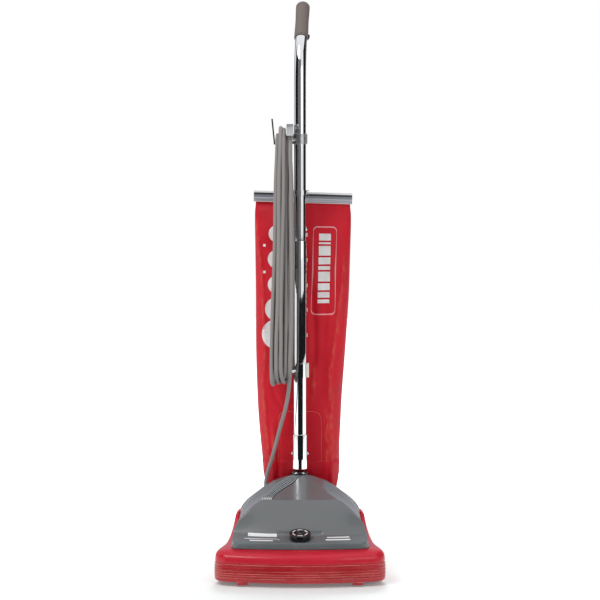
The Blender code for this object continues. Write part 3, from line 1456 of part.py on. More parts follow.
def build():
    clear_scene()
    sides = ((-1, "left"), (1, "right"))
    motor = (0, PULLEY_CENTRE, MOTOR_HEIGHT)
    base = [
        base_housing(), furniture_guard(), hood(), bottom_plate(), motor_can(),
        motor_end_cap(), motor_bracket(), fan_housing(), exhaust_duct(), drive_belt(),
        rear_axle(), pedal_pin(),
    ]
    for side, word in sides:
        base += [pivot_pin(side, "pivot_pin_" + word), brush_cap(side, "brush_cap_" + word)]
    group("base", (0, 0, 0), base)
    on_motor = [motor_shaft(), fan(),
                on_shaft("armature", 0.034, 0.015, 0.092, copper()),
                on_shaft("motor_pulley", PULLEY_RADIUS, PULLEY_CENTRE - 0.0065,
                         PULLEY_CENTRE + 0.0065, steel())]
    group("motor_axis", motor, on_motor)
    brush = [brush_roll()]
    for side, word in sides:
        for start, label in ((0, "a"), (180, "b")):
            brush.append(bristle_strip(side, math.radians(start),
                                       f"bristles_{word}_{label}"))
    group("brush_axis", (0, *BRUSH_AXIS), brush)
    carriage = [wheel_carriage(), front_axle()]
    for side, word in sides:
        carriage.append(front_wheel(side, "front_wheel_" + word))
        rear_wheel(side, "rear_wheel_" + word)
        plate_latch(side, "plate_latch_" + word)
    group("carriage", (0, FRONT_AXLE_Y, FRONT_WHEEL_RADIUS), carriage)
    height_knob()
    release_pedal()
    handle = [
        handle_bail(), lower_tube(), middle_tube(), upper_tube(), handle_grip(),
        power_switch(), tube_bolt("tube_bolt_low", LOW_BOLT, LOWER_TUBE_RADIUS),
        tube_bolt("tube_bolt_high", HIGH_BOLT, UPPER_TUBE_RADIUS), upper_hook(),
        hook_finger(), lower_hook(),
        clamp_block("hook_block_upper", UPPER_TUBE_RADIUS, 0.0157, UPPER_CLAMP,
                    grey_plastic()),
        clamp_block("hook_block_lower", MIDDLE_TUBE_RADIUS, 0.0192, LOWER_CLAMP,
                    cream_plastic()),
        bag_body(), bag_cuff(), bag_clip(), bag_hanger(), cord_hank(), cord_lead(),
        cord_plug(), strain_relief(),
    ]
    group("handle_pivot", PIVOT, handle)


build()
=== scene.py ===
"""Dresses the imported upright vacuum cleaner: finishes, cloth, cord, chrome and stage.

Laid out as a Blender add-on. Each operator makes one piece or one group of like pieces,
and the panel lists them. All lengths are metres in the machine's own frame: +Z up,
the front at -Y, +X to the right seen from the front.
"""

import functools
import json
import math
from contextlib import contextmanager

import bmesh
import bpy
import numpy as np
from bpy.props import FloatProperty, FloatVectorProperty, IntProperty, PointerProperty
from mathutils import Euler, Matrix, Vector


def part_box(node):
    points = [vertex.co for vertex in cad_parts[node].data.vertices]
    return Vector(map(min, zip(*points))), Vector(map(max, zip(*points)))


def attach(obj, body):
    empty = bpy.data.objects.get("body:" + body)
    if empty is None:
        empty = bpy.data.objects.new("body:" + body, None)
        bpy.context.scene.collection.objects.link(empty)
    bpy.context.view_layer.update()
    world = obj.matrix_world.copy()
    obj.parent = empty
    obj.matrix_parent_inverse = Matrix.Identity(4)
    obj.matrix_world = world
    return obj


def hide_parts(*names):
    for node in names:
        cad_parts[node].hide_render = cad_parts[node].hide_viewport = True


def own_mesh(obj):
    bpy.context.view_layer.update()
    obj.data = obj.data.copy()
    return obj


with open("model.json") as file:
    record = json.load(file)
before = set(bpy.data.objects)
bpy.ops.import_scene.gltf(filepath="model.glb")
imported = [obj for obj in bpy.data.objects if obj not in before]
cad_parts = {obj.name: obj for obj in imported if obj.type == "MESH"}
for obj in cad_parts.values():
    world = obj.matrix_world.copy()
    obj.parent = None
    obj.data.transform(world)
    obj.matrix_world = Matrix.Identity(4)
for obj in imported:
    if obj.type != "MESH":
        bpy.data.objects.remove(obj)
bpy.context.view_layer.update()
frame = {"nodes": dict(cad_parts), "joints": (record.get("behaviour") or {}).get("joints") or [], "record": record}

bl_info = {
    "name": "Upright Vacuum Dressing",
    "version": (1, 0, 0),
    "blender": (4, 5, 0),
    "location": "View3D > Sidebar > Vacuum",
    "description": "Surfaces, cloth, cord and finishes for an upright vacuum cleaner",
    "category": "Object",
}


# ---- Places read from the frame ------------------------------------------------------
def joint(name):
    """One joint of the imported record."""
    return next(item for item in frame["joints"] if item["name"] == name)


PIVOT = Vector(joint("handle_recline")["pos_m"])
GRIP_AXIS = Vector(joint("power_switch_slide")["axis"]).normalized()
KNOB_PLACE = Vector(joint("height_knob_turn")["pos_m"])
KNOB_AXIS = Vector(joint("height_knob_turn")["axis"]).normalized()


# ---- Mesh making ---------------------------------------------------------------------
@contextmanager
def edited(mesh):
    """A mesh opened for editing, and written back afterwards."""
    work = bmesh.new()
    work.from_mesh(mesh)
    yield work
    work.to_mesh(mesh)
    work.free()


def face_outward(work):
    """Turns the faces so that they enclose a positive volume."""
    bmesh.ops.recalc_face_normals(work, faces=work.faces)
    if work.calc_volume(signed=True) < 0:
        bmesh.ops.reverse_faces(work, faces=work.faces)


def smoothed(mesh, sharp):
    """Shades a mesh smooth, but for edges sharper than an angle in degrees."""
    mesh.shade_smooth()
    mesh.set_sharp_from_angle(angle=math.radians(sharp))


def placed(name, data):
    """Puts data into the scene as a new object."""
    piece = bpy.data.objects.new(name, data)
    bpy.context.collection.objects.link(piece)
    return piece


def walled(piece, thickness):
    """Gives a sheet a live wall on its inner side."""
    wall = piece.modifiers.new("Wall", "SOLIDIFY")
    wall.thickness = thickness
    wall.offset = -1.0


def grid_faces(rows, columns, round_rows, round_columns):
    """Corner indices of every quad of a grid, and the same corners before wrapping."""
    down = np.arange(rows if round_rows else rows - 1)
    over = np.arange(columns if round_columns else columns - 1)
    down, over = (a.ravel() for a in np.meshgrid(down, over, indexing="ij"))
    i = np.stack([down, down, down + 1, down + 1], 1)
    j = np.stack([over, over + 1, over + 1, over], 1)
    return (i % rows) * columns + j % columns, i, j


def surface(name, points, material, round_rows=False, round_columns=False, ends=False,
            size=(1.0, 1.0), sharp=40.0, out=None):
    """A mesh through a grid of points, with the grid's own parameters as its UV map.

    points has the shape (rows, columns, 3). A round direction closes on itself, ends
    closes the first and last row with one face each, and size scales the UV map. The
    faces are turned so that the surface encloses a positive volume, or, for an open
    sheet, so that its faces look along the direction out.
    """
    points = np.asarray(points, dtype=float)
    rows, columns = points.shape[:2]
    quads, i, j = grid_faces(rows, columns, round_rows, round_columns)
    faces = quads.tolist()
    uv = np.stack([j / max(columns - 1, 1) * size[0], i / max(rows - 1, 1) * size[1]], -1)
    uv = uv.reshape(-1, 2)
    if ends:
        faces.append(list(range(columns))[::-1])
        faces.append([(rows - 1) * columns + k for k in range(columns)])
        share = np.arange(columns) / columns
        ring = np.stack([0.5 + 0.1 * np.cos(share * math.tau),
                         0.5 + 0.1 * np.sin(share * math.tau)], 1)
        uv = np.concatenate([uv, ring[::-1], ring])
    mesh = bpy.data.meshes.new(name)
    mesh.from_pydata(points.reshape(-1, 3).tolist(), [], faces)
    layer = mesh.uv_layers.new(name="UVMap")
    layer.data.foreach_set("uv", uv.ravel())
    with edited(mesh) as work:
        bmesh.ops.remove_doubles(work, verts=work.verts, dist=1e-6)
        if out is None:
            face_outward(work)
        elif sum((f.normal * f.calc_area() for f in work.faces), Vector()).dot(Vector(out)) < 0:
            bmesh.ops.reverse_faces(work, faces=work.faces)
    smoothed(mesh, sharp)
    mesh.materials.append(material)
    return placed(name, mesh)


def frames_along(path, up):
    """Unit side and upward vectors at every point of a path.

    The side is the path's gradient crossed with the direction up, and the upward
    vector is square to both.
    """
    along = np.gradient(path, axis=0)
    along /= np.linalg.norm(along, axis=1, keepdims=True)
    side = np.cross(along, np.asarray(up, dtype=float))
    side /= np.linalg.norm(side, axis=1, keepdims=True)
    return side, np.cross(side, along)


def swept(name, path, outline, material, up=(0, 1, 0), **rest):
    """An outline carried along a path: point = path + side * u + upward * v.

    The outline is one section of (u, v) pairs.
    """
    path = np.asarray(path, dtype=float)
    side, raise_to = frames_along(path, up)
    points = path[:, None] + side[:, None] * outline[:, :1] + raise_to[:, None] * outline[:, 1:]
    return surface(name, points, material, round_columns=True, ends=True, **rest)


def circle(radius, sides=48):
    """Points of a circle, the sine and cosine of equal steps."""
    turn = np.arange(sides) / sides * math.tau
    return radius * np.stack([np.cos(turn), np.sin(turn)], 1)


def rounded_box(half_u, half_v, corner):
    """A rectangle with round corners: quarter circles about its four corner centres."""
    turn = np.linspace(0, math.pi / 2, 6)
    parts = []
    for k, (su, sv) in enumerate(((1, 1), (-1, 1), (-1, -1), (1, -1))):
        angle = turn + k * math.pi / 2
        parts.append(np.stack([su * (half_u - corner) + corner * np.cos(angle),
                               sv * (half_v - corner) + corner * np.sin(angle)], 1))
    return np.concatenate(parts)


def turned(name, profile, centre, axis, material, sides=72, start=(0, 1, 0), **rest):
    """A profile of (radius, height) pairs spun about an axis through a centre.

    point = centre + axis * height + radius * (cos a * first + sin a * second), where
    first and second are square to the axis. A closed loop of pairs makes a ring.
    """
    axis = np.asarray(Vector(axis).normalized())
    first = np.cross(axis, start)
    if np.linalg.norm(first) < 0.1:
        first = np.cross(axis, (1, 0, 0))
    first /= np.linalg.norm(first)
    second = np.cross(axis, first)
    profile = np.asarray(profile, dtype=float)
    turn = np.arange(sides) / sides * math.tau
    radial = np.cos(turn)[:, None] * first + np.sin(turn)[:, None] * second
    points = (np.asarray(centre, dtype=float) + profile[:, None, 1:] * axis
              + profile[:, None, :1] * radial[None])
    return surface(name, points, material, round_columns=True, **rest)


def eased(share):
    """The smooth step 3t^2 - 2t^3 of a share held between 0 and 1."""
    share = np.clip(share, 0.0, 1.0)
    return share * share * (3 - 2 * share)


def smooth_curve(points, count):
    """Points evenly spread along a Catmull-Rom curve through the given points.

    Between p1 and p2 the curve is the cubic whose end slopes are (p2 - p0) / 2 and
    (p3 - p1) / 2; it is sampled finely and then read off at equal lengths.
    """
    points = np.asarray(points, dtype=float)
    padded = np.vstack([2 * points[0] - points[1], points, 2 * points[-1] - points[-2]])
    t = np.linspace(0, 1, 24, endpoint=False)[None, :, None]
    p0, p1, p2, p3 = (padded[k:len(padded) - 3 + k, None] for k in range(4))
    fine = 0.5 * (2 * p1 + (p2 - p0) * t + (2 * p0 - 5 * p1 + 4 * p2 - p3) * t ** 2
                  + (3 * p1 - p0 - 3 * p2 + p3) * t ** 3)
    fine = np.vstack([fine.reshape(-1, points.shape[1]), points[-1:]])
    length = np.concatenate([[0], np.cumsum(np.linalg.norm(np.diff(fine, axis=0), axis=1))])
    wanted = np.linspace(0, length[-1], count)
    return np.stack([np.interp(wanted, length, fine[:, k]) for k in range(fine.shape[1])], 1)


def finished(piece, body, replaces=()):
    """A finished piece rides on its body, and the nodes it replaces are hidden."""
    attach(piece, body)
    if replaces:
        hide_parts(*replaces)
    return piece


def add_bevel(piece, width, segments=3, angle=35.0):
    """A live bevel on a piece's sharp edges."""
    bevel = piece.modifiers.new("Bevel", "BEVEL")
    bevel.width = width
    bevel.segments = segments
    bevel.limit_method = "ANGLE"
    bevel.angle_limit = math.radians(angle)
    return piece


def joined(name, pieces):
    """Several meshes as one object, with the first one's name and place."""
    work = bmesh.new()
    slots = []
    for piece in pieces:
        offset = len(slots)
        slots.extend(piece.data.materials)
        start = len(work.faces)
        work.from_mesh(piece.data)
        work.faces.ensure_lookup_table()
        for face in work.faces[start:]:
            face.material_index += offset
    mesh = bpy.data.meshes.new(name)
    work.to_mesh(mesh)
    work.free()
    unique = list(dict.fromkeys(slots))
    index = np.empty(len(mesh.polygons), dtype=np.int32)
    mesh.polygons.foreach_get("material_index", index)
    index = np.array([unique.index(m) for m in slots], dtype=np.int32)[index]
    for material in unique:
        mesh.materials.append(material)
    mesh.polygons.foreach_set("material_index", index)
    for piece in pieces:
        bpy.data.objects.remove(piece, do_unlink=True)
    return placed(name, mesh)


# ---- Shader node groups --------------------------------------------------------------
class Graph:
    """A node tree with short ways to add a node, set its values and join sockets."""

    def __init__(self, tree):
        self.tree = tree

    def add(self, kind, settings=None, **values):
        """Adds a node; values are set on its inputs, and sockets among them are linked."""
        made = self.tree.nodes.new("ShaderNode" + kind)
        for key, value in (settings or {}).items():
            setattr(made, key, value)
        for key, value in values.items():
            self.give(made.inputs[key.replace("_", " ") if isinstance(key, str) else key],
                      value)
        return made

    def give(self, socket, value):
        """Links a socket to an input, or sets the input's own value."""
        if isinstance(value, bpy.types.NodeSocket):
            self.tree.links.new(value, socket)
        else:
            socket.default_value = value

    def math(self, operation, first, second=0.0):
        """One Math node."""
        made = self.add("Math", {"operation": operation})
        self.give(made.inputs[0], first)
        self.give(made.inputs[1], second)
        return made.outputs[0]

    def steps(self, value, low, high, first=0.0, second=1.0):
        """A value mapped from low..high to first..second with smooth ends."""
        made = self.add("MapRange", {"interpolation_type": "SMOOTHSTEP"})
        self.give(made.inputs["Value"], value)
        for key, number in (("From Min", low), ("From Max", high), ("To Min", first),
                            ("To Max", second)):
            self.give(made.inputs[key], number)
        return made.outputs["Result"]

    def mix(self, share, first, second, blend="MIX"):
        """Two colours mixed by a share."""
        made = self.add("Mix", {"data_type": "RGBA", "blend_type": blend})
        self.give(made.inputs["Factor"], share)
        self.give(made.inputs[6], first)
        self.give(made.inputs[7], second)
        return made.outputs[2]

    def place(self, scale=(1.0, 1.0, 1.0)):
        """Object coordinates, scaled."""
        mapping = self.add("Mapping", Scale=scale)
        self.give(mapping.inputs["Vector"], self.add("TexCoord").outputs["Object"])
        return mapping.outputs["Vector"]

    def parts(self, vector):
        """The three numbers of a vector."""
        made = self.add("SeparateXYZ")
        self.give(made.inputs[0], vector)
        return made.outputs

    def noise(self, vector, scale, detail=3.0, roughness=0.5):
        """The value of one Noise texture."""
        made = self.add("TexNoise", Scale=scale, Detail=detail, Roughness=roughness)
        self.give(made.inputs["Vector"], vector)
        return made.outputs["Fac"]


def new_group(name, inputs, outputs):
    """A shader node group: its graph, the node with its inputs and the one it ends in."""
    tree = bpy.data.node_groups.new(name, "ShaderNodeTree")
    for label, value in inputs:
        kind = "NodeSocketColor" if isinstance(value, tuple) else "NodeSocketFloat"
        tree.interface.new_socket(name=label, in_out="INPUT",
                                  socket_type=kind).default_value = value
    for label, kind in outputs:
        tree.interface.new_socket(name=label, in_out="OUTPUT", socket_type=kind)
    return Graph(tree), tree.nodes.new("NodeGroupInput"), tree.nodes.new("NodeGroupOutput")


def speckle_group():
    """Fine moulded grain and broad handling marks, in object coordinates.

    Grain is a small noise of the given scale, and Smudge is a broad one that is pushed
    towards its ends, for changes of gloss.
    """
    graph, given, result = new_group(
        "Moulded Grain", [("Scale", 900.0), ("Smudge Scale", 14.0)],
        [("Grain", "NodeSocketFloat"), ("Smudge", "NodeSocketFloat")])
    spot = graph.add("TexCoord").outputs["Object"]
    grain = graph.noise(spot, given.outputs["Scale"], 2.0)
    smudge = graph.noise(spot, given.outputs["Smudge Scale"], 4.0, 0.6)
    graph.give(result.inputs["Grain"], grain)
    graph.give(result.inputs["Smudge"], graph.steps(smudge, 0.32, 0.68))
    return graph.tree


def wear_group():
    """A mask of rubbed edges: the surface's pointiness broken up by noise."""
    graph, given, result = new_group(
        "Edge Wear", [("Start", 0.52), ("End", 0.60), ("Patch Scale", 60.0)],
        [("Mask", "NodeSocketFloat")])
    point = graph.add("NewGeometry").outputs["Pointiness"]
    edge = graph.steps(point, given.outputs["Start"], given.outputs["End"])
    patch = graph.noise(graph.add("TexCoord").outputs["Object"],
                        given.outputs["Patch Scale"], 4.0, 0.6)
    graph.give(result.inputs["Mask"], graph.math("MULTIPLY", edge,
                                                 graph.steps(patch, 0.35, 0.6)))
    return graph.tree


def weave_group():
    """A plain weave on the UV map, with as many threads as it is told, both ways.

    Each thread is a raised sine; the warp is on top where the product of the two sines
    of half the pitch is positive and the weft where it is negative.
    """
    graph, given, result = new_group(
        "Plain Weave", [("Threads Across", 300.0), ("Threads Along", 900.0)],
        [("Height", "NodeSocketFloat"), ("Over", "NodeSocketFloat")])
    apart = graph.parts(graph.add("TexCoord").outputs["UV"])
    waves = []
    for axis, label in ((0, "Threads Across"), (1, "Threads Along")):
        turn = graph.math("MULTIPLY", apart[axis], given.outputs[label])
        waves.append(graph.math("MULTIPLY", turn, math.pi))
    over = graph.math("MULTIPLY", graph.math("SINE", waves[0]),
                      graph.math("SINE", waves[1]))
    warp = graph.math("ABSOLUTE", graph.math("SINE", waves[0]))
    weft = graph.math("ABSOLUTE", graph.math("SINE", waves[1]))
    height = graph.mix(graph.steps(over, -0.2, 0.2), weft, warp)
    graph.give(result.inputs["Height"], height)
    graph.give(result.inputs["Over"], over)
    return graph.tree


def streak_group():
    """Fine parallel scratches: noise stretched along one direction."""
    graph, given, result = new_group(
        "Brushed Streaks", [("Across", 900.0), ("Along", 12.0)],
        [("Height", "NodeSocketFloat")])
    parts = graph.parts(graph.add("TexCoord").outputs["Object"])
    spot = graph.add("CombineXYZ")
    for axis, label in ((0, "Across"), (1, "Across"), (2, "Along")):
        graph.give(spot.inputs[axis], graph.math("MULTIPLY", parts[axis], given.outputs[label]))
    graph.give(result.inputs["Height"], graph.noise(spot.outputs[0], 1.0, 2.0))
    return graph.tree


GROUPS = {}


def group(maker):
    """A node group, made once and then shared."""
    if maker.__name__ not in GROUPS:
        GROUPS[maker.__name__] = maker()
    return GROUPS[maker.__name__]


def use_group(graph, maker, **values):
    """Places a shared node group in a material with that material's own values."""
    made = graph.tree.nodes.new("ShaderNodeGroup")
    made.node_tree = group(maker)
    for key, value in values.items():
        made.inputs[key.replace("_", " ")].default_value = value
    return made.outputs


# ---- Finishes ------------------------------------------------------------------------
def shared(maker):
    """Makes a finish on the first call; later calls find it by the maker's name."""
    @functools.wraps(maker)
    def found():
        return bpy.data.materials.get(maker.__name__) or maker()
    return found


def shaded(colour, share):
    """A colour made darker or lighter by a share, with full opacity."""
    return tuple(min(c * share, 1.0) for c in colour) + (1.0,)


def finish(name, colour, roughness, metallic=0.0, coat=0.0, sheen=0.0, specular=0.5):
    """A material with a Principled surface; returns it, its graph and the surface."""
    made = bpy.data.materials.new(name)
    made.use_nodes = True
    graph = Graph(made.node_tree)
    surface_node = made.node_tree.nodes["Principled BSDF"]
    surface_node.inputs["Base Color"].default_value = (*colour, 1.0)
    surface_node.inputs["Roughness"].default_value = roughness
    surface_node.inputs["Metallic"].default_value = metallic
    surface_node.inputs["Coat Weight"].default_value = coat
    surface_node.inputs["Coat Roughness"].default_value = 0.05
    surface_node.inputs["Sheen Weight"].default_value = sheen
    surface_node.inputs["Specular IOR Level"].default_value = specular
    return made, graph, surface_node


def bumped(graph, surface_node, height, depth, strength=1.0, before=None):
    """A Bump node on the surface's normal; depth is in metres."""
    bump = graph.add("Bump", Height=height, Distance=depth, Strength=strength)
    if before is not None:
        graph.give(bump.inputs["Normal"], before)
    graph.give(surface_node.inputs["Normal"], bump.outputs["Normal"])
    return bump.outputs["Normal"]


def moulded(name, colour, roughness, grain=900.0, depth=0.00003, wear=None, coat=0.0,
            tint=0.12, specular=0.5, smudge=0.08):
    """Moulded plastic or rubber: grain, smudged gloss and lighter rubbed edges."""
    made, graph, node = finish(name, colour, roughness, coat=coat, specular=specular)
    speckle = use_group(graph, speckle_group, Scale=grain)
    gloss = graph.steps(speckle["Smudge"], 0.0, 1.0, roughness - smudge * roughness * 2,
                        roughness + smudge)
    graph.give(node.inputs["Roughness"], gloss)
    shade = graph.mix(speckle["Smudge"], shaded(colour, 1 - tint), shaded(colour, 1 + tint))
    if wear:
        mask = use_group(graph, wear_group)["Mask"]
        shade = graph.mix(graph.math("MULTIPLY", mask, 0.7), shade, (*wear, 1.0))
    graph.give(node.inputs["Base Color"], shade)
    bumped(graph, node, speckle["Grain"], depth)
    return made


def plated(name, colour, roughness, streak=0.0, spots=0.03, wear=None):
    """Bright or brushed metal: faint haze, fine streaks and a duller worn edge."""
    made, graph, node = finish(name, colour, roughness, metallic=1.0)
    speckle = use_group(graph, speckle_group, Scale=1400.0, Smudge_Scale=22.0)
    graph.give(node.inputs["Roughness"],
               graph.steps(speckle["Smudge"], 0.0, 1.0, roughness, roughness + spots))
    shade = graph.mix(speckle["Smudge"], (*colour, 1.0), shaded(colour, 0.93))
    if wear:
        mask = use_group(graph, wear_group, Patch_Scale=140.0)["Mask"]
        shade = graph.mix(graph.math("MULTIPLY", mask, 0.5), shade, (*wear, 1.0))
    graph.give(node.inputs["Base Color"], shade)
    if streak:
        bumped(graph, node, use_group(graph, streak_group)["Height"], streak)
    return made


def smudged(graph, node, dark, light, gloss, grain, scale, depth):
    """Colour and gloss that drift between two ends with the smudges, over a fine grain."""
    speckle = use_group(graph, speckle_group, Scale=grain, Smudge_Scale=scale)
    graph.give(node.inputs["Base Color"], graph.mix(speckle["Smudge"], dark, light))
    graph.give(node.inputs["Roughness"], graph.steps(speckle["Smudge"], 0.0, 1.0, *gloss))
    bumped(graph, node, speckle["Grain"], depth)


@shared
def red_shell():
    """The base's glossy red plastic."""
    return moulded("red_shell", tuple(look().red), 0.24, grain=420.0, depth=0.00001,
                   wear=(0.75, 0.16, 0.15), tint=0.04, specular=0.35, smudge=0.03)


# Heights of the bumper's rib edges that carry a painted pale highlight line.
RIB_HIGHLIGHT_HEIGHTS = (0.0460, 0.0332, 0.0277, 0.0232, 0.0184, 0.0100)


@shared
def red_vinyl():
    """The softer, slightly clear vinyl of the bumper, with painted pale highlight lines on its ribs."""
    made, graph, node = finish("red_vinyl", tuple(look().red), 0.22, coat=0.3)
    speckle = use_group(graph, speckle_group, Scale=300.0, Smudge_Scale=9.0)
    shade = graph.mix(speckle["Smudge"], (0.42, 0.008, 0.018, 1.0), (0.50, 0.016, 0.028, 1.0))
    height_at = graph.parts(graph.place())[2]
    # Painted highlight: pale lines at the rib edges' heights, broken up by noise, stand in for light caught on the
    # ribs.
    highlight_lines = None
    for height in RIB_HIGHLIGHT_HEIGHTS:
        off = graph.math("ABSOLUTE", graph.math("SUBTRACT", height_at, height))
        line = graph.steps(off, 0.0003, 0.0009, 1.0, 0.0)
        highlight_lines = line if highlight_lines is None else graph.math("MAXIMUM", highlight_lines, line)
    broken = graph.steps(graph.noise(graph.place(scale=(1.0, 1.0, 6.0)), 26.0, 4.0), 0.35, 0.62,
                         0.40, 0.85)
    graph.give(node.inputs["Base Color"],
               graph.mix(graph.math("MULTIPLY", highlight_lines, broken), shade, (0.78, 0.26, 0.22, 1.0)))
    graph.give(node.inputs["Roughness"], graph.steps(speckle["Smudge"], 0.0, 1.0, 0.16, 0.30))
    bumped(graph, node, speckle["Grain"], 0.00004)
    return made


@shared
def hood_gloss():
    """The hood's glossy grey with a faint metallic fleck."""
    base = tuple(look().hood)
    made, graph, node = finish("hood_gloss", base, 0.22, coat=0.25)
    spot = graph.place()
    fleck = graph.noise(spot, 2600.0, 1.0)
    broad = graph.noise(spot, 7.0, 3.0)
    shade = graph.mix(graph.steps(fleck, 0.45, 0.75), shaded(base, 0.94), shaded(base, 1.12))
    graph.give(node.inputs["Base Color"], shade)
    graph.give(node.inputs["Roughness"], graph.steps(broad, 0.3, 0.7, 0.17, 0.26))
    bumped(graph, node, graph.noise(spot, 55.0, 2.0), 0.00003)
    return made


@shared
def rib_gloss():
    """The ribbed strip, by UV: painted shade in the valleys, painted highlights on tops and ends."""
    made, graph, node = finish("rib_gloss", (0.085, 0.105, 0.112), 0.30, specular=0.25)
    across, along, _ = graph.parts(graph.add("TexCoord").outputs["UV"])
    # Painted shade and highlight: dark valleys and pale rib tops from a sine across the strip.
    wave = graph.math("ABSOLUTE", graph.math("SINE", graph.math("MULTIPLY", across, 6 * math.pi)))
    shade = graph.mix(graph.steps(wave, 0.45, 0.90), (0.006, 0.010, 0.012, 1.0),
                      (0.380, 0.430, 0.450, 1.0))
    # Painted glint: near-white rib ends where the ribs meet the crest.
    end = graph.math("MULTIPLY", graph.steps(along, 0.925, 0.97),
                     graph.steps(wave, 0.55, 0.8))
    graph.give(node.inputs["Base Color"], graph.mix(end, shade, (0.80, 0.82, 0.84, 1.0)))
    speckle = use_group(graph, speckle_group, Scale=900.0)
    graph.give(node.inputs["Roughness"], graph.steps(speckle["Smudge"], 0.0, 1.0, 0.18, 0.30))
    bumped(graph, node, speckle["Grain"], 0.00002)
    return made


@shared
def lip_gloss():
    """The darker teal grey of the hood's moulded front lip."""
    return moulded("lip_gloss", (0.140, 0.172, 0.180), 0.24, coat=0.1, tint=0.05, smudge=0.04)


@shared
def bright_chrome():
    """Polished tube and brackets."""
    return plated("bright_chrome", (0.80, 0.81, 0.83), 0.035)


@shared
def drawn_steel():
    """Plain plate and shafts with a drawn grain."""
    return plated("drawn_steel", (0.46, 0.47, 0.48), 0.32, streak=0.00002, spots=0.15,
                  wear=(0.62, 0.62, 0.62))


@shared
def black_moulding():
    """Satin black plastic."""
    return moulded("black_moulding", (0.012, 0.012, 0.013), 0.33, coat=0.1,
                   wear=(0.07, 0.07, 0.07))


@shared
def black_gloss():
    """The polished black of the height knob."""
    return moulded("black_gloss", (0.006, 0.006, 0.007), 0.12, coat=0.6, depth=0.00001)


@shared
def grey_moulding():
    """Satin mid grey plastic of the fan housing, duct and clamp block."""
    return moulded("grey_moulding", (0.25, 0.24, 0.23), 0.45, wear=(0.42, 0.41, 0.40))


@shared
def cream_moulding():
    """The clamp block's cream plastic."""
    return moulded("cream_moulding", (0.83, 0.78, 0.69), 0.42, wear=(0.92, 0.90, 0.85))


@shared
def tyre_rubber():
    """Dusty black rubber."""
    made, graph, node = finish("tyre_rubber", (0.02, 0.02, 0.02), 0.7)
    smudged(graph, node, (0.016, 0.016, 0.017, 1.0), (0.050, 0.047, 0.044, 1.0), (0.55, 0.85),
            700.0, 45.0, 0.00015)
    return made


@shared
def grip_plastic():
    """The grip's grey-brown satin plastic."""
    base = tuple(look().grip)
    made, graph, node = finish("grip_plastic", base, 0.42)
    smudged(graph, node, shaded(base, 0.86), shaded(base, 1.12), (0.34, 0.5), 850.0, 30.0,
            0.00006)
    return made


@shared
def cord_vinyl():
    """The cord's grey sheath."""
    base = tuple(look().cord)
    made, graph, node = finish("cord_vinyl", base, 0.38, coat=0.15)
    smudged(graph, node, shaded(base, 0.80), shaded(base, 1.14), (0.30, 0.48), 500.0, 28.0,
            0.00008)
    return made


@shared
def wound_copper():
    """Enamelled winding on the armature, with fine turns round its axis."""
    made, graph, node = finish("wound_copper", (0.55, 0.20, 0.07), 0.3, metallic=0.9)
    wave = graph.add("TexWave", {"bands_direction": "Y"}, Scale=260.0, Distortion=0.6)
    graph.give(wave.inputs["Vector"], graph.place())
    shade = graph.mix(wave.outputs["Fac"], (0.20, 0.06, 0.02, 1.0), (0.62, 0.25, 0.09, 1.0))
    graph.give(node.inputs["Base Color"], shade)
    bumped(graph, node, wave.outputs["Fac"], 0.0003)
    return made


@shared
def varnished_wood():
    """The brush roll's turned maple under varnish."""
    made, graph, node = finish("varnished_wood", (0.45, 0.27, 0.12), 0.35, coat=0.4)
    spot = graph.place(scale=(2.0, 30.0, 30.0))
    grain = graph.noise(spot, 6.0, 6.0, 0.65)
    shade = graph.mix(graph.steps(grain, 0.3, 0.7), (0.30, 0.16, 0.06, 1.0),
                      (0.55, 0.35, 0.17, 1.0))
    graph.give(node.inputs["Base Color"], shade)
    bumped(graph, node, grain, 0.00006)
    return made


@shared
def bristle_hair():
    """Dark bristles, with fine upright strands."""
    made, graph, node = finish("bristle_hair", (0.02, 0.018, 0.016), 0.5, sheen=0.3)
    spot = graph.place(scale=(1800.0, 160.0, 160.0))
    strand = graph.noise(spot, 1.0, 2.0)
    graph.give(node.inputs["Base Color"],
               graph.mix(graph.steps(strand, 0.35, 0.65), (0.008, 0.007, 0.006, 1.0),
                         (0.075, 0.066, 0.055, 1.0)))
    bumped(graph, node, strand, 0.0006)
    return made


@shared
def white_print():
    """White ink, a little thin in places."""
    return moulded("white_print", (0.86, 0.86, 0.86), 0.45, depth=0.00001, tint=0.05)


# ---- Sizes and colours a user may change ---------------------------------------------
class VacuumLook(bpy.types.PropertyGroup):
    """Colours and sizes of the dressed machine."""

    red: FloatVectorProperty(
        name="Red", description="Colour of the base, bumper and bag", subtype="COLOR",
        default=(0.585, 0.014, 0.034), min=0.0, max=1.0)
    hood: FloatVectorProperty(
        name="Hood", description="Colour of the hood", subtype="COLOR",
        default=(0.150, 0.158, 0.165), min=0.0, max=1.0)
    cord: FloatVectorProperty(
        name="Cord", description="Colour of the cord's sheath", subtype="COLOR",
        default=(0.285, 0.262, 0.250), min=0.0, max=1.0)
    grip: FloatVectorProperty(
        name="Grip", description="Colour of the hand grip", subtype="COLOR",
        default=(0.155, 0.128, 0.120), min=0.0, max=1.0)
    cord_diameter: FloatProperty(
        name="Cord diameter", description="Diameter of the mains cord", unit="LENGTH",
        default=0.0084, min=0.004, max=0.012)
    cord_length: FloatProperty(
        name="Cord length", description="Whole length of the mains cord", unit="LENGTH",
        default=15.2, min=1.0, max=30.0)
    fold_depth: FloatProperty(
        name="Bag folds", description="Depth of the folds of the bag's cloth",
        unit="LENGTH", default=0.0035, min=0.0, max=0.01)
    threads: IntProperty(
        name="Threads", description="Threads of the bag's weave for each metre",
        default=900, min=100, max=4000)
    daylight: FloatProperty(
        name="Room light", description="Strength of the even light of the room",
        default=0.55, min=0.0, max=2.0)


def look():
    """The scene's own settings of this dressing."""
    return bpy.context.scene.vacuum_look


BODY_OF = {node: body for body, nodes in frame["record"]["behaviour"]["bodies"].items()
           for node in nodes}
SLOT_OF = {item["node"]: item["material_slot"] for item in frame["record"]["subparts"]}


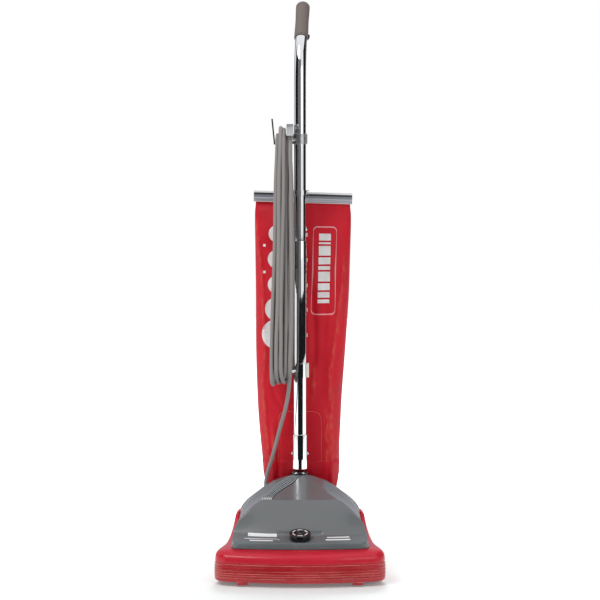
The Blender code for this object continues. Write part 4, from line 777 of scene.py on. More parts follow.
def refined(node, name, material, bevel=0.0004, angle=30.0):
    """A merged, smooth-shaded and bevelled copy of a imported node, which it replaces."""
    work = bmesh.new()
    work.from_mesh(frame["nodes"][node].data)
    bmesh.ops.remove_doubles(work, verts=work.verts, dist=2e-6)
    bmesh.ops.dissolve_limit(work, angle_limit=math.radians(0.5), verts=work.verts,
                             edges=work.edges)
    mesh = bpy.data.meshes.new(name)
    work.to_mesh(mesh)
    work.free()
    smoothed(mesh, angle)
    mesh.materials.append(material)
    piece = placed(name, mesh)
    add_bevel(piece, bevel, 2, angle)
    return finished(piece, BODY_OF[node], (node,))


# ---- Handle --------------------------------------------------------------------------
LOWER_RADIUS = 0.015875
MIDDLE_RADIUS = 0.0142875
UPPER_RADIUS = 0.0127
BEND_START = 1.030
BEND_RADIUS = 0.162
LEAN = math.radians(38.0)
TWIST = math.radians(4.0)
GRIP_RADIUS = 0.0150
GRIP_LENGTH = 0.1005
FORK_HALF_WIDTH = 0.0720
SOCKET_RADIUS = 0.0172


def bend_place(angle):
    """A point on the bent tube's axis: straight up, then an arc that leans back."""
    angle = np.asarray(angle, dtype=float)
    back = BEND_RADIUS * (1 - np.cos(angle))
    return np.stack([math.sin(TWIST) * back, PIVOT.y + math.cos(TWIST) * back,
                     BEND_START + BEND_RADIUS * np.sin(angle)], -1)


def tube_ring(name, radius, low, high, lip, material):
    """An upright tube with a wall: its outer side, a rounded lip and its inner side."""
    wall = 0.0011
    turn = np.linspace(0, math.pi / 2, 6)
    top = np.stack([radius - lip + lip * np.cos(turn), high - lip + lip * np.sin(turn)], 1)
    profile = np.vstack([[(radius, low)], top, [(radius - wall - 0.0001, high),
                                                (radius - wall, low)]])
    return turned(name, profile, (0, PIVOT.y, 0), (0, 0, 1), material, sides=96,
                  round_rows=True, sharp=50)


class VAC_OT_tubes(bpy.types.Operator):
    """Makes the handle's three stepped tubes, with rolled lips, and its two bolts."""
    bl_idname = "vacuum.tubes"
    bl_label = "Handle tubes"

    def execute(self, context):
        for part, radius in (("lower", LOWER_RADIUS), ("middle", MIDDLE_RADIUS)):
            low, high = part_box(part + "_tube")
            tube = tube_ring("tube_" + part, radius, low[2], high[2], 0.0009, bright_chrome())
            finished(tube, "handle", (part + "_tube",))
        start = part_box("upper_tube")[0][2]
        straight = np.linspace(start, BEND_START, 60, endpoint=False)
        path = np.stack([np.zeros(60), np.full(60, PIVOT.y), straight], 1)
        arc = bend_place(np.linspace(0, LEAN, 90))
        end = arc[-1] + np.outer(np.linspace(0.004, 0.055, 8), np.asarray(GRIP_AXIS))
        path = np.vstack([path, arc, end])
        upper = swept("tube_upper", path, circle(UPPER_RADIUS, 96), bright_chrome(), up=(1, 0, 0))
        finished(upper, "handle", ("upper_tube",))
        self.bolt("tube_bolt_low", LOWER_RADIUS)
        self.bolt("tube_bolt_high", UPPER_RADIUS)
        return {"FINISHED"}

    def bolt(self, node, radius):
        """A screw through a tube: a domed head, its shank and an acorn nut."""
        low, high = (Vector(p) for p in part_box(node))
        centre = (low + high) / 2
        half = (high.x - low.x) / 2
        shank, head = 0.0023, min((high.z - low.z) / 2, 0.0042)
        rise = half - radius - 0.0002
        turn = np.linspace(0, math.pi / 2, 8)
        dome = np.stack([head * np.cos(turn), half - rise + rise * np.sin(turn)], 1)
        profile = np.vstack([dome[::-1] * (1, -1), [(head, -half + rise - 0.0001)],
                             [(shank, -half + rise)], [(shank, half - rise)],
                             [(head, half - rise - 0.0001)], dome])
        profile = np.vstack([[(0, profile[0, 1])], profile[1:-1], [(0, profile[-1, 1])]])
        screw = turned(node + "_screw", profile, centre, (1, 0, 0), bright_chrome(), sides=32,
                       sharp=30)
        finished(screw, "handle", (node,))


class VAC_OT_grip(bpy.types.Operator):
    """Makes the grip with its domed end, collar and the switch on its back."""
    bl_idname = "vacuum.grip"
    bl_label = "Grip and switch"

    def execute(self, context):
        foot = bend_place(LEAN)
        share = np.linspace(0, 1, 40)
        body = GRIP_RADIUS - 0.0007 * np.sin(share * math.pi) ** 2
        height = 0.004 + share * (GRIP_LENGTH - 0.016)
        turn = np.linspace(0, math.pi / 2, 16)[1:]
        lip = np.linspace(-math.pi / 2, 0, 8)
        lower = np.stack([GRIP_RADIUS - 0.0012 + 0.0012 * np.cos(lip),
                          0.0012 + 0.0012 * np.sin(lip)], 1)
        dome = np.stack([GRIP_RADIUS * np.cos(turn),
                         GRIP_LENGTH - 0.012 + 0.012 * np.sin(turn)], 1)
        dome[-1, 0] = 0.0
        groove = np.array([(GRIP_RADIUS, 0.0030), (GRIP_RADIUS - 0.0006, 0.0034),
                           (GRIP_RADIUS - 0.0006, 0.0038)])
        bore = np.array([(UPPER_RADIUS + 0.0002, 0.020), (UPPER_RADIUS + 0.0002, 0.0006)])
        profile = np.vstack([bore, lower, groove, np.stack([body, height], 1), dome])
        profile = np.vstack([[(0.0, 0.020)], profile])
        grip = turned("grip_sleeve", profile, foot, GRIP_AXIS, grip_plastic(), sides=96)
        finished(grip, "handle", ("handle_grip",))
        refined("power_switch", "switch_slider", black_moulding(), 0.0006, 25)
        return {"FINISHED"}


class VAC_OT_fork(bpy.types.Operator):
    """Makes the rod fork, the socket that holds the handle's foot, and its two screws."""
    bl_idname = "vacuum.fork"
    bl_label = "Fork and foot"

    def execute(self, context):
        half = [(-FORK_HALF_WIDTH, 0.0790), (-FORK_HALF_WIDTH, 0.1000),
                (-0.0716, 0.1180), (-0.0680, 0.1400),
                (-0.0570, 0.1610), (-0.0380, 0.1760), (-0.0180, 0.1828), (0.0, 0.1845)]
        line = half + [(-x, z) for x, z in reversed(half[:-1])]
        path = smooth_curve([(x, PIVOT.y, z) for x, z in line], 160)
        rod = swept("fork_rod", path, circle(0.0060, 24), bright_chrome(), up=(0, 1, 0))
        finished(rod, "handle", ("handle_bail",))
        eyes = [turned("fork_eye", [(0.0042, -0.0040), (0.0105, -0.0040), (0.0112, -0.0033),
                                    (0.0112, 0.0033), (0.0105, 0.0040), (0.0042, 0.0040)],
                       (side * FORK_HALF_WIDTH, PIVOT.y, PIVOT.z), (1, 0, 0), bright_chrome(), sides=48,
                       round_rows=True) for side in (-1, 1)]
        finished(joined("fork_eyes", eyes), "handle")
        socket = turned("foot_socket",
                        [(0.0100, 0.1745), (0.0150, 0.1750), (SOCKET_RADIUS, 0.1785),
                         (SOCKET_RADIUS, 0.1990),
                         (0.0168, 0.2000), (0.0158, 0.2004), (0.0100, 0.2004)],
                        (0, PIVOT.y, 0), (0, 0, 1), black_moulding(), round_rows=True)
        finished(socket, "handle")
        screws = []
        for x, z in ((-0.0085, 0.1975), (0.0068, 0.1975)):
            out = Vector((x, -math.sqrt(SOCKET_RADIUS ** 2 - x ** 2), 0.0)).normalized()
            place = Vector((0, PIVOT.y, z)) + out * 0.0170
            screws.append(turned("foot_screw", [(0.0, 0.0026), (0.0016, 0.0024), (0.0028, 0.0016),
                                                (0.0033, 0.0), (0.0033, -0.0010)],
                                 place, out, bright_chrome(), sides=24, start=(0, 0, 1)))
        finished(joined("foot_screws", screws), "handle")
        for side in ("left", "right"):
            refined("pivot_pin_" + side, "pivot_" + side, drawn_steel(), 0.0004)
        return {"FINISHED"}


class VAC_OT_brackets(bpy.types.Operator):
    """Dresses the cord brackets, their clamp blocks, the hanger and the cord's gland."""
    bl_idname = "vacuum.brackets"
    bl_label = "Brackets"

    def execute(self, context):
        for node, name, material, bevel, angle in (
                ("hook_bracket_upper", "bracket_upper", drawn_steel(), 0.0005, 35),
                ("hook_bracket_lower", "bracket_lower", bright_chrome(), 0.0005, 35),
                ("bag_hanger", "hanger_hook", bright_chrome(), 0.0002, 40),
                ("hook_block_upper", "clamp_upper", grey_moulding(), 0.0007, 30),
                ("hook_block_lower", "clamp_lower", cream_moulding(), 0.0007, 30),
                ("hook_finger", "finger_sleeve", black_moulding(), 0.0004, 30),
                ("strain_relief", "cord_gland", black_moulding(), 0.0004, 30)):
            refined(node, name, material, bevel, angle)
        return {"FINISHED"}


# ---- Mains cord ----------------------------------------------------------------------
LEAD_POINTS = ((-0.0235, 0.018, 0.388), (-0.029, 0.0235, 0.350), (-0.043, 0.042, 0.295),
               (-0.060, 0.064, 0.228), (-0.0735, 0.080, 0.178), (-0.0748, 0.0812, 0.160),
               (-0.0745, 0.081, 0.1485))
PLUG_NECK = (-0.041, 0.020, 0.656)
HANK_BACK = 0.030
FOLD_TOP = 0.8957
FOLD_BOTTOM = 0.4363
LAYER_RADII = (0.0255, 0.0343, 0.0431)
# Each column of the hank: x at its foot and at its top, the height that its top fold is
# let down by, and the height that its bottom fold is raised by.
HANK_COLUMNS = ((-0.0222, -0.0205, 0.0135, 0.0062), (-0.0316, -0.0272, 0.0085, 0.0030),
                (-0.0410, -0.0346, 0.0040, 0.0005), (-0.0504, -0.0416, 0.0005, 0.0040),
                (-0.0598, -0.0480, 0.0070, 0.0110))
# The order in which the turns are laid, each as (column, layer), from the plug outwards.
HANK_ORDER = ((2, 0), (1, 0), (0, 0), (0, 1), (1, 1), (2, 1), (3, 0), (4, 0), (4, 1),
              (3, 1), (3, 2), (2, 2), (0, 2))


def hank_x(column, height):
    """A column's sideways place at a height, leaning evenly from foot to top."""
    foot, top = HANK_COLUMNS[column][:2]
    share = (height - FOLD_BOTTOM) / (FOLD_TOP - FOLD_BOTTOM)
    return foot + (top - foot) * share


def turn_points(place, after, rank):
    """One turn of the hank: up its back run, over the top fold and down its front run.

    The folds are half circles of the layer's radius about the fold heights. The column
    drifts to the next turn's along the bottom fold, and small waves of a fixed phase
    keep the strands from lying perfectly straight.
    """
    column, layer = place
    radius = LAYER_RADII[layer]
    let_down, raised = HANK_COLUMNS[column][2:]
    top = FOLD_TOP - let_down
    bottom = FOLD_BOTTOM + raised - (0.0300 if place == (4, 1) else 0.0)
    wave = 0.0010 * np.sin(np.linspace(0.0, 2.2 * math.pi, 7) + 1.7 * rank)
    heights = np.linspace(bottom + 0.045, top - 0.045, 7)
    back = [(hank_x(column, z) + w, HANK_BACK + radius, z) for z, w in zip(heights, wave)]
    angle = np.linspace(0, math.pi, 9)
    over = [(hank_x(column, top + radius * math.sin(a)), HANK_BACK + radius * math.cos(a),
             top + radius * math.sin(a)) for a in angle]
    wave = 0.0011 * np.sin(np.linspace(0.0, 1.7 * math.pi, 7) + 2.3 * rank + 0.6)
    shift = 0.0040 if column == 0 else 0.0
    down = [(hank_x(column, z) + w + shift * math.sin(math.pi * (z - bottom) / (top - bottom)),
             HANK_BACK - radius, z) for z, w in zip(heights[::-1], wave)]
    if after is None:
        return back + over + down[:-2]
    next_column, next_layer = after
    next_radius = LAYER_RADII[next_layer]
    next_bottom = FOLD_BOTTOM + HANK_COLUMNS[next_column][3]
    angle = np.linspace(math.pi, math.tau, 9)
    share = eased((angle - math.pi) / math.pi)
    middle = bottom + (next_bottom - bottom) * share
    reach = radius + (next_radius - radius) * share
    x = hank_x(column, middle) + (hank_x(next_column, middle) - hank_x(column, middle)) * share
    under = [(a, HANK_BACK + b * math.cos(c), d + b * math.sin(c))
             for a, b, c, d in zip(x, reach, angle, middle)]
    return back + over + down + under


def cord_route():
    """The cord's points from its exit: up the lead, round the hank, in to the plug."""
    points = [PLUG_NECK, (-0.0410, 0.0240, 0.690), (-0.0405, 0.0330, 0.730),
              (-0.0398, 0.0440, 0.775)]
    for rank, place in enumerate(HANK_ORDER):
        after = HANK_ORDER[rank + 1] if rank + 1 < len(HANK_ORDER) else None
        turn = turn_points(place, after, rank)
        points.extend(turn[5:] if rank == 0 else turn)
    points.extend(LEAD_POINTS)
    return np.asarray(points)[::-1]


def cord_curve(name, route, diameter, material):
    """A round curve of one open Bezier spline with aligned, automatic handles."""
    data = bpy.data.curves.new(name, "CURVE")
    data.dimensions = "3D"
    data.bevel_depth = diameter / 2
    data.bevel_resolution = 4
    data.resolution_u = 6
    data.use_fill_caps = True
    line = data.splines.new("BEZIER")
    line.bezier_points.add(len(route) - 1)
    line.bezier_points.foreach_set("co", np.asarray(route, dtype=float).ravel())
    for point in line.bezier_points:
        point.handle_left_type = "AUTO"
        point.handle_right_type = "AUTO"
    data.materials.append(material)
    return placed(name, data)


class VAC_OT_cord(bpy.types.Operator):
    """Winds the mains cord: out of its gland, up to the hank, round it and to the plug."""
    bl_idname = "vacuum.cord"
    bl_label = "Mains cord"

    def execute(self, context):
        route = cord_route()
        piece = cord_curve("mains_cord", route, look().cord_diameter, cord_vinyl())
        finished(piece, "handle", ("cord_lead", "cord_hank"))
        plug = refined("cord_plug", "cord_plug_body", cord_vinyl(), 0.0004)
        return {"FINISHED"}


# ---- Plan outlines of the base -------------------------------------------------------
BASE_FRONT = 0.190
BASE_REAR = 0.150
BASE_HALF_WIDTH = 0.175
FRONT_BOW = 0.036
CORNER_OUT = 0.0064
REAR_HALF_WIDTH = 0.139
LEDGE_TOP = 0.0685
LEDGE_RISE = 0.032
GUARD_TOP = 0.047
GUARD_BOTTOM = 0.0087
GUARD_DEPTH = 0.0085
GUARD_REAR = 0.098
HOOD_FRONT = 0.155
HOOD_REAR = 0.105
HOOD_HALF_WIDTH = 0.1415
HOOD_REAR_HALF_WIDTH = 0.133
HOOD_WAIST = (0.1396, -0.100)       # half width and place where the sides turn
OPENING_RADIUS = 0.092
OPENING_CENTRE = 0.121
PARTING_STEP = 0.0045
RECESS_HALF_WIDTH = 0.047
NOTCH_FRONT = 0.0980
NOTCHES = ((0.0922, 0.0642), (0.0287, 0.0200))      # half width and foot of each


def ledge_rise(y):
    """The ledge's rise towards the rear: the cube of the share of the way along."""
    return LEDGE_RISE * np.clip((np.asarray(y) + 0.070) / 0.175, 0.0, 1.0) ** 3


def rounded_plan(corners, steps=10, straight=14):
    """A closed plan outline whose corners (x, y, radius) are arcs, with even sides.

    Each arc touches both sides of its corner; every side between two arcs has the
    same number of points, so that outlines of the same corners match one to one.
    """
    arcs = []
    for k, (x, y, radius) in enumerate(corners):
        here = np.array((x, y))
        ahead = np.array(corners[(k + 1) % len(corners)][:2]) - here
        back = np.array(corners[k - 1][:2]) - here
        ahead /= np.linalg.norm(ahead)
        back /= np.linalg.norm(back)
        half = math.acos(np.clip(np.dot(ahead, back), -1, 1)) / 2
        middle = here + (ahead + back) / np.linalg.norm(ahead + back) * radius / math.sin(half)
        start = here + back * radius / math.tan(half) - middle
        sweep = math.pi - 2 * half
        sign = 1.0 if start[1] * back[0] - start[0] * back[1] > 0 else -1.0
        angle = sign * np.linspace(0, sweep, steps)
        arcs.append(np.stack([
            middle[0] + np.cos(angle) * start[0] - np.sin(angle) * start[1],
            middle[1] + np.sin(angle) * start[0] + np.cos(angle) * start[1]], 1))
    parts = []
    for k, arc in enumerate(arcs):
        after = arcs[(k + 1) % len(arcs)][0]
        share = np.linspace(0, 1, straight + 2)[1:-1, None]
        parts += [arc, arc[-1] * (1 - share) + after * share]
    return np.concatenate(parts)


def bowed_plan(front, half_width, bow, bow_radius, corner, waist, rear, inset):
    """A plan with a bowed front and round corners, drawn in by an inset all round."""
    corner_x = half_width + CORNER_OUT
    slope = math.atan2(bow, corner_x)
    nose = -(front + bow_radius * (1 / math.cos(slope) - 1))
    right = [(corner_x - inset, nose + bow + inset, max(corner - inset, 0.002)),
             (waist[0] - inset, waist[1], 0.30),
             (rear[0] - inset, rear[1] - inset, max(0.012 - inset, 0.002))]
    left = [(-x, y, radius) for x, y, radius in reversed(right)]
    return rounded_plan([(0.0, nose + inset, bow_radius)] + right + left)


def base_plan(inset):
    """The red base's plan, drawn in by an inset."""
    return bowed_plan(BASE_FRONT, BASE_HALF_WIDTH, FRONT_BOW, 0.60, 0.030,
                      (BASE_HALF_WIDTH - 0.017, -0.068), (REAR_HALF_WIDTH, BASE_REAR), inset)


def hood_plan(inset):
    """The hood's plan, drawn in by an inset."""
    return bowed_plan(HOOD_FRONT, HOOD_HALF_WIDTH - CORNER_OUT, 0.012, 1.0, 0.018,
                      HOOD_WAIST, (HOOD_REAR_HALF_WIDTH, HOOD_REAR), inset)


def open_run(inside):
    """The run of a closed ring's points that are inside, in their order round it."""
    keep = np.nonzero(inside)[0]
    gap = np.nonzero(np.diff(keep) > 1)[0]
    return np.roll(keep, -(gap[0] + 1)) if len(gap) else keep


def level(plan, height, rise=0.0):
    """A plan lifted to a height, with a share of the ledge's rise."""
    return np.column_stack([plan, height + rise * ledge_rise(plan[:, 1])])


class VAC_OT_base(bpy.types.Operator):
    """Makes the red base's skin over its packed core, and the ribbed bumper."""
    bl_idname = "vacuum.base"
    bl_label = "Base and bumper"

    def execute(self, context):
        self.skin()
        self.bumper()
        return {"FINISHED"}

    def skin(self):
        """The side walls and ledge: plan outlines stacked from the bumper to the hood.

        Each ring is an outline drawn in a little more and set higher, with the share
        of the ledge's rise that it follows; at the front the edge is rounder, so its
        rings are lowered there by a share that fades out along the sides.
        """
        rings = ((0.0090, GUARD_TOP - 0.0100, 0.0, 0.0), (0.0040, GUARD_TOP - 0.0004, 0.0, 0.0),
                 (0.0008, GUARD_TOP + 0.0006, 0.0, 0.0), (0.0000, GUARD_TOP + 0.0026, 0.1, 0.0),
                 (0.0002, 0.0545, 0.5, 0.0010), (0.0007, 0.0590, 0.8, 0.0026),
                 (0.0014, 0.0628, 0.95, 0.0036), (0.0024, 0.0652, 1.0, 0.0040),
                 (0.0038, 0.0670, 1.0, 0.0037), (0.0056, 0.0682, 1.0, 0.0030),
                 (0.0085, 0.0690, 1.0, 0.0016), (0.0130, 0.0697, 1.0, 0.0004))
        stack = []
        for inset, height, rise, lower in rings:
            ring = level(base_plan(inset), height, rise)
            front = eased((-0.115 - ring[:, 1]) / 0.045)
            ring[:, 2] -= lower * front
            stack.append(ring)
        for inset, lift in ((-0.0030, 0.0030), (-0.0016, 0.0036), (-0.0012, 0.0022),
                            (-0.0010, -0.0030), (0.0040, -0.0030)):
            stack.append(level(hood_plan(inset), LEDGE_TOP + lift, 1.0))
        skin = surface("base_skin", np.array(stack), red_shell(), round_columns=True,
                       sharp=60, out=(0, 0, 1))
        self.notch(skin)
        finished(skin, "base")

    def notch(self, skin):
        """Opens the skin's rear over the housing's own notch, where the handle swings."""
        with edited(skin.data) as work:
            for half_width, foot in NOTCHES:
                cuts = (((half_width, 0, 0), (1, 0, 0)), ((-half_width, 0, 0), (1, 0, 0)),
                        ((0, NOTCH_FRONT, 0), (0, 1, 0)), ((0, 0, foot), (0, 0, 1)))
                for place, normal in cuts:
                    every = work.verts[:] + work.edges[:] + work.faces[:]
                    bmesh.ops.bisect_plane(work, geom=every, plane_co=place, plane_no=normal,
                                           dist=1e-6)
                middles = [(face, face.calc_center_median()) for face in work.faces]
                gone = [face for face, middle in middles
                        if abs(middle.x) < half_width and middle.y > NOTCH_FRONT
                        and middle.z > foot]
                bmesh.ops.delete(work, geom=gone, context="FACES")

    def bumper(self):
        """The bumper's section carried round the front and both sides.

        Each groove sinks into the face by a smooth step and eases out again above; the
        face swells a little between its foot and its top. Both rear ends are closed.
        """
        z = np.linspace(GUARD_BOTTOM, GUARD_TOP, 150)
        inset = 0.0002 + 0.0026 * eased((GUARD_BOTTOM + 0.0030 - z) / 0.0030)
        inset += 0.0016 * eased((z - GUARD_TOP + 0.0018) / 0.0018)
        for groove, depth in ((0.0182, 0.0016), (0.0230, 0.0013), (0.0275, 0.0013),
                              (0.0330, 0.0018), (0.0402, 0.0009)):
            inset += depth * eased((z - groove + 0.0004) / 0.0008) * eased((groove + 0.0026 - z)
                                                                          / 0.0022)
        swell = 1 + 0.011 * np.sin(np.pi * (z - GUARD_BOTTOM) / (GUARD_TOP - GUARD_BOTTOM)) ** 0.5
        rings = [level(base_plan(max(step, 0.0)), height) * (wide, 1, 1)
                 for step, height, wide in zip(inset, z, swell)]
        rings.append(level(base_plan(GUARD_DEPTH), GUARD_TOP))
        rings.append(level(base_plan(GUARD_DEPTH), GUARD_BOTTOM))
        rings = np.array(rings)[:, open_run(rings[0][:, 1] < GUARD_REAR)]
        bumper = surface("bumper", rings, red_vinyl(), round_rows=True, sharp=50)
        finished(bumper, "base", ("furniture_guard",))
        with edited(bumper.data) as work:
            rims = [edge for edge in work.edges if edge.is_boundary]
            bmesh.ops.holes_fill(work, edges=rims, sides=0)
            bmesh.ops.recalc_face_normals(work, faces=work.faces)
        pads = joined("bumper_glides", [self.glide(side) for side in (-1, 1)])
        add_bevel(pads, 0.0006)
        finished(pads, "base")

    def glide(self, side):
        """One of the two short pads under the bumper: a rounded block."""
        outline = rounded_box(0.0110, 0.0026, 0.0012)
        path = np.array([(side * 0.118, -0.1740, z) for z in (0.0040, 0.0060, 0.0085, 0.0120)])
        return swept("glide", path, outline, red_vinyl(), up=(0, 1, 0))


# ---- Hood ----------------------------------------------------------------------------
CREST_Y = -0.062
DOME_Y = (-0.1560, -0.1530, -0.1400, -0.1200, -0.1000, -0.0890, -0.0830, -0.0740, -0.0620,
          -0.0400, -0.0180, 0.0050, 0.0300, 0.0525, 0.0800, 0.1050)
DOME_TOP = (0.0905, 0.0925, 0.1050, 0.1240, 0.1430, 0.1530, 0.1580, 0.1680, 0.1770,
            0.1800, 0.1840, 0.1900, 0.1970, 0.1955, 0.1900, 0.1850)
DOME_POWER = (7.0, 6.6, 5.2, 4.0, 3.1, 2.8, 2.5, 2.2, 2.0, 1.9, 1.82, 1.78, 1.75, 1.68, 1.52,
              1.40)
HOOD_BOW = 0.0120
TRIM_REAR = 0.006           # the trim band ends here, ahead of the rear opening
SKIRT = 0.0050
LIP_RISE = 0.0085


def lip_height(y):
    """Height of the hood's upright lip above its foot, taller across the front."""
    return SKIRT + LIP_RISE * eased((-0.125 - y) / 0.028)


def hood_half_width(y):
    """Half the hood's width at a place along it, straight between its four places."""
    return np.interp(y, (-HOOD_FRONT, HOOD_WAIST[1], 0.060, HOOD_REAR),
                     (HOOD_HALF_WIDTH, HOOD_WAIST[0], 0.1325, 0.1290))


def soft_least(first, second, radius):
    """The lesser of two heights, with the crease between them rounded by a radius."""
    blend = np.clip(0.5 + 0.5 * (second - first) / radius, 0.0, 1.0)
    return second + (first - second) * blend - radius * blend * (1 - blend)


def panel_height(y):
    """Middle line of the hood's two flat panels: a shelf, the slope and the top."""
    shelf = 0.0905 + math.tan(math.radians(12.5)) * (y + 0.127) + 0.0012
    slope = 0.1585 + 1.20 * (y - CREST_Y)
    top = 0.1580 + 0.40 * (y - CREST_Y)
    front = shelf + 0.0015 * np.logaddexp(0.0, (slope - shelf) / 0.0015)
    return soft_least(front, top, 0.0007)


def hood_height(x, y):
    """Height of the hood: the least of a rounded dome and the flat panels.

    The dome's cross-section is a superellipse, z = foot + rise * (1 - |x/h|^p)^(1/p),
    whose rise and power p change along the hood. The shallow recess about the knob is
    sunk below the shelf by smooth steps.
    """
    foot = LEDGE_TOP + PARTING_STEP + ledge_rise(y)
    skirt = foot + lip_height(y)
    power = np.interp(y, DOME_Y, DOME_POWER)
    rise = np.maximum(np.interp(y, DOME_Y, DOME_TOP) - skirt, 0.0)
    share = np.clip(np.abs(x) / hood_half_width(y), 0.0, 1.0)
    dome = skirt + rise * (1 - share ** power) ** (1 / power)
    bowed = y - HOOD_BOW * (x / HOOD_HALF_WIDTH) ** 2 * eased((-0.068 - y) / 0.040)
    panel = panel_height(bowed) + 0.0030 * (x / 0.13) ** 2 * eased((y + 0.130) / 0.030)
    height = soft_least(dome, panel, 0.0011)
    sunk = eased((RECESS_HALF_WIDTH + 0.001 - np.abs(x)) / 0.0026)
    sunk = sunk * eased((-0.1085 - bowed) / 0.0040) * eased((bowed + 0.1500) / 0.0030)
    return height - 0.0016 * sunk


def hood_front(x):
    """Place of the hood's front edge: bowed, and rounded at its two corners."""
    x = np.abs(np.asarray(x, dtype=float))
    radius = 0.020
    corner = np.clip(x - (HOOD_HALF_WIDTH - radius), 0.0, radius * 0.9999)
    return (-HOOD_FRONT + HOOD_BOW * (x / HOOD_HALF_WIDTH) ** 2
            + radius - np.sqrt(radius ** 2 - corner ** 2))


def hood_grid(rows, columns):
    """Plan places of the hood's surface, from its front edge to the rear opening.

    Rows are spread as shares of the way from the front edge to the crest and from the
    crest to the rear edge, which follows the round opening; columns crowd to the sides.
    """
    s = np.linspace(-1, 1, columns)
    share = np.sign(s) * (1 - (1 - np.abs(s)) ** 1.7)
    near = 0.96 * np.linspace(0, 1, rows[0]) ** 1.1 + 0.04 * np.linspace(0, 1, rows[0]) ** 9
    far = np.linspace(0, 1, rows[1] + 1)[1:] ** 1.15
    x_front = share * HOOD_HALF_WIDTH
    y_front = hood_front(x_front)
    arc = OPENING_CENTRE - np.sqrt(np.maximum(OPENING_RADIUS ** 2 - x_front ** 2, 0.0))
    y_back = np.where(np.abs(x_front) < OPENING_RADIUS, np.minimum(arc, HOOD_REAR), HOOD_REAR)
    y = np.vstack([y_front + near[:, None] * (CREST_Y - y_front),
                   CREST_Y + far[:, None] * (y_back - CREST_Y)])
    return share * hood_half_width(y), y


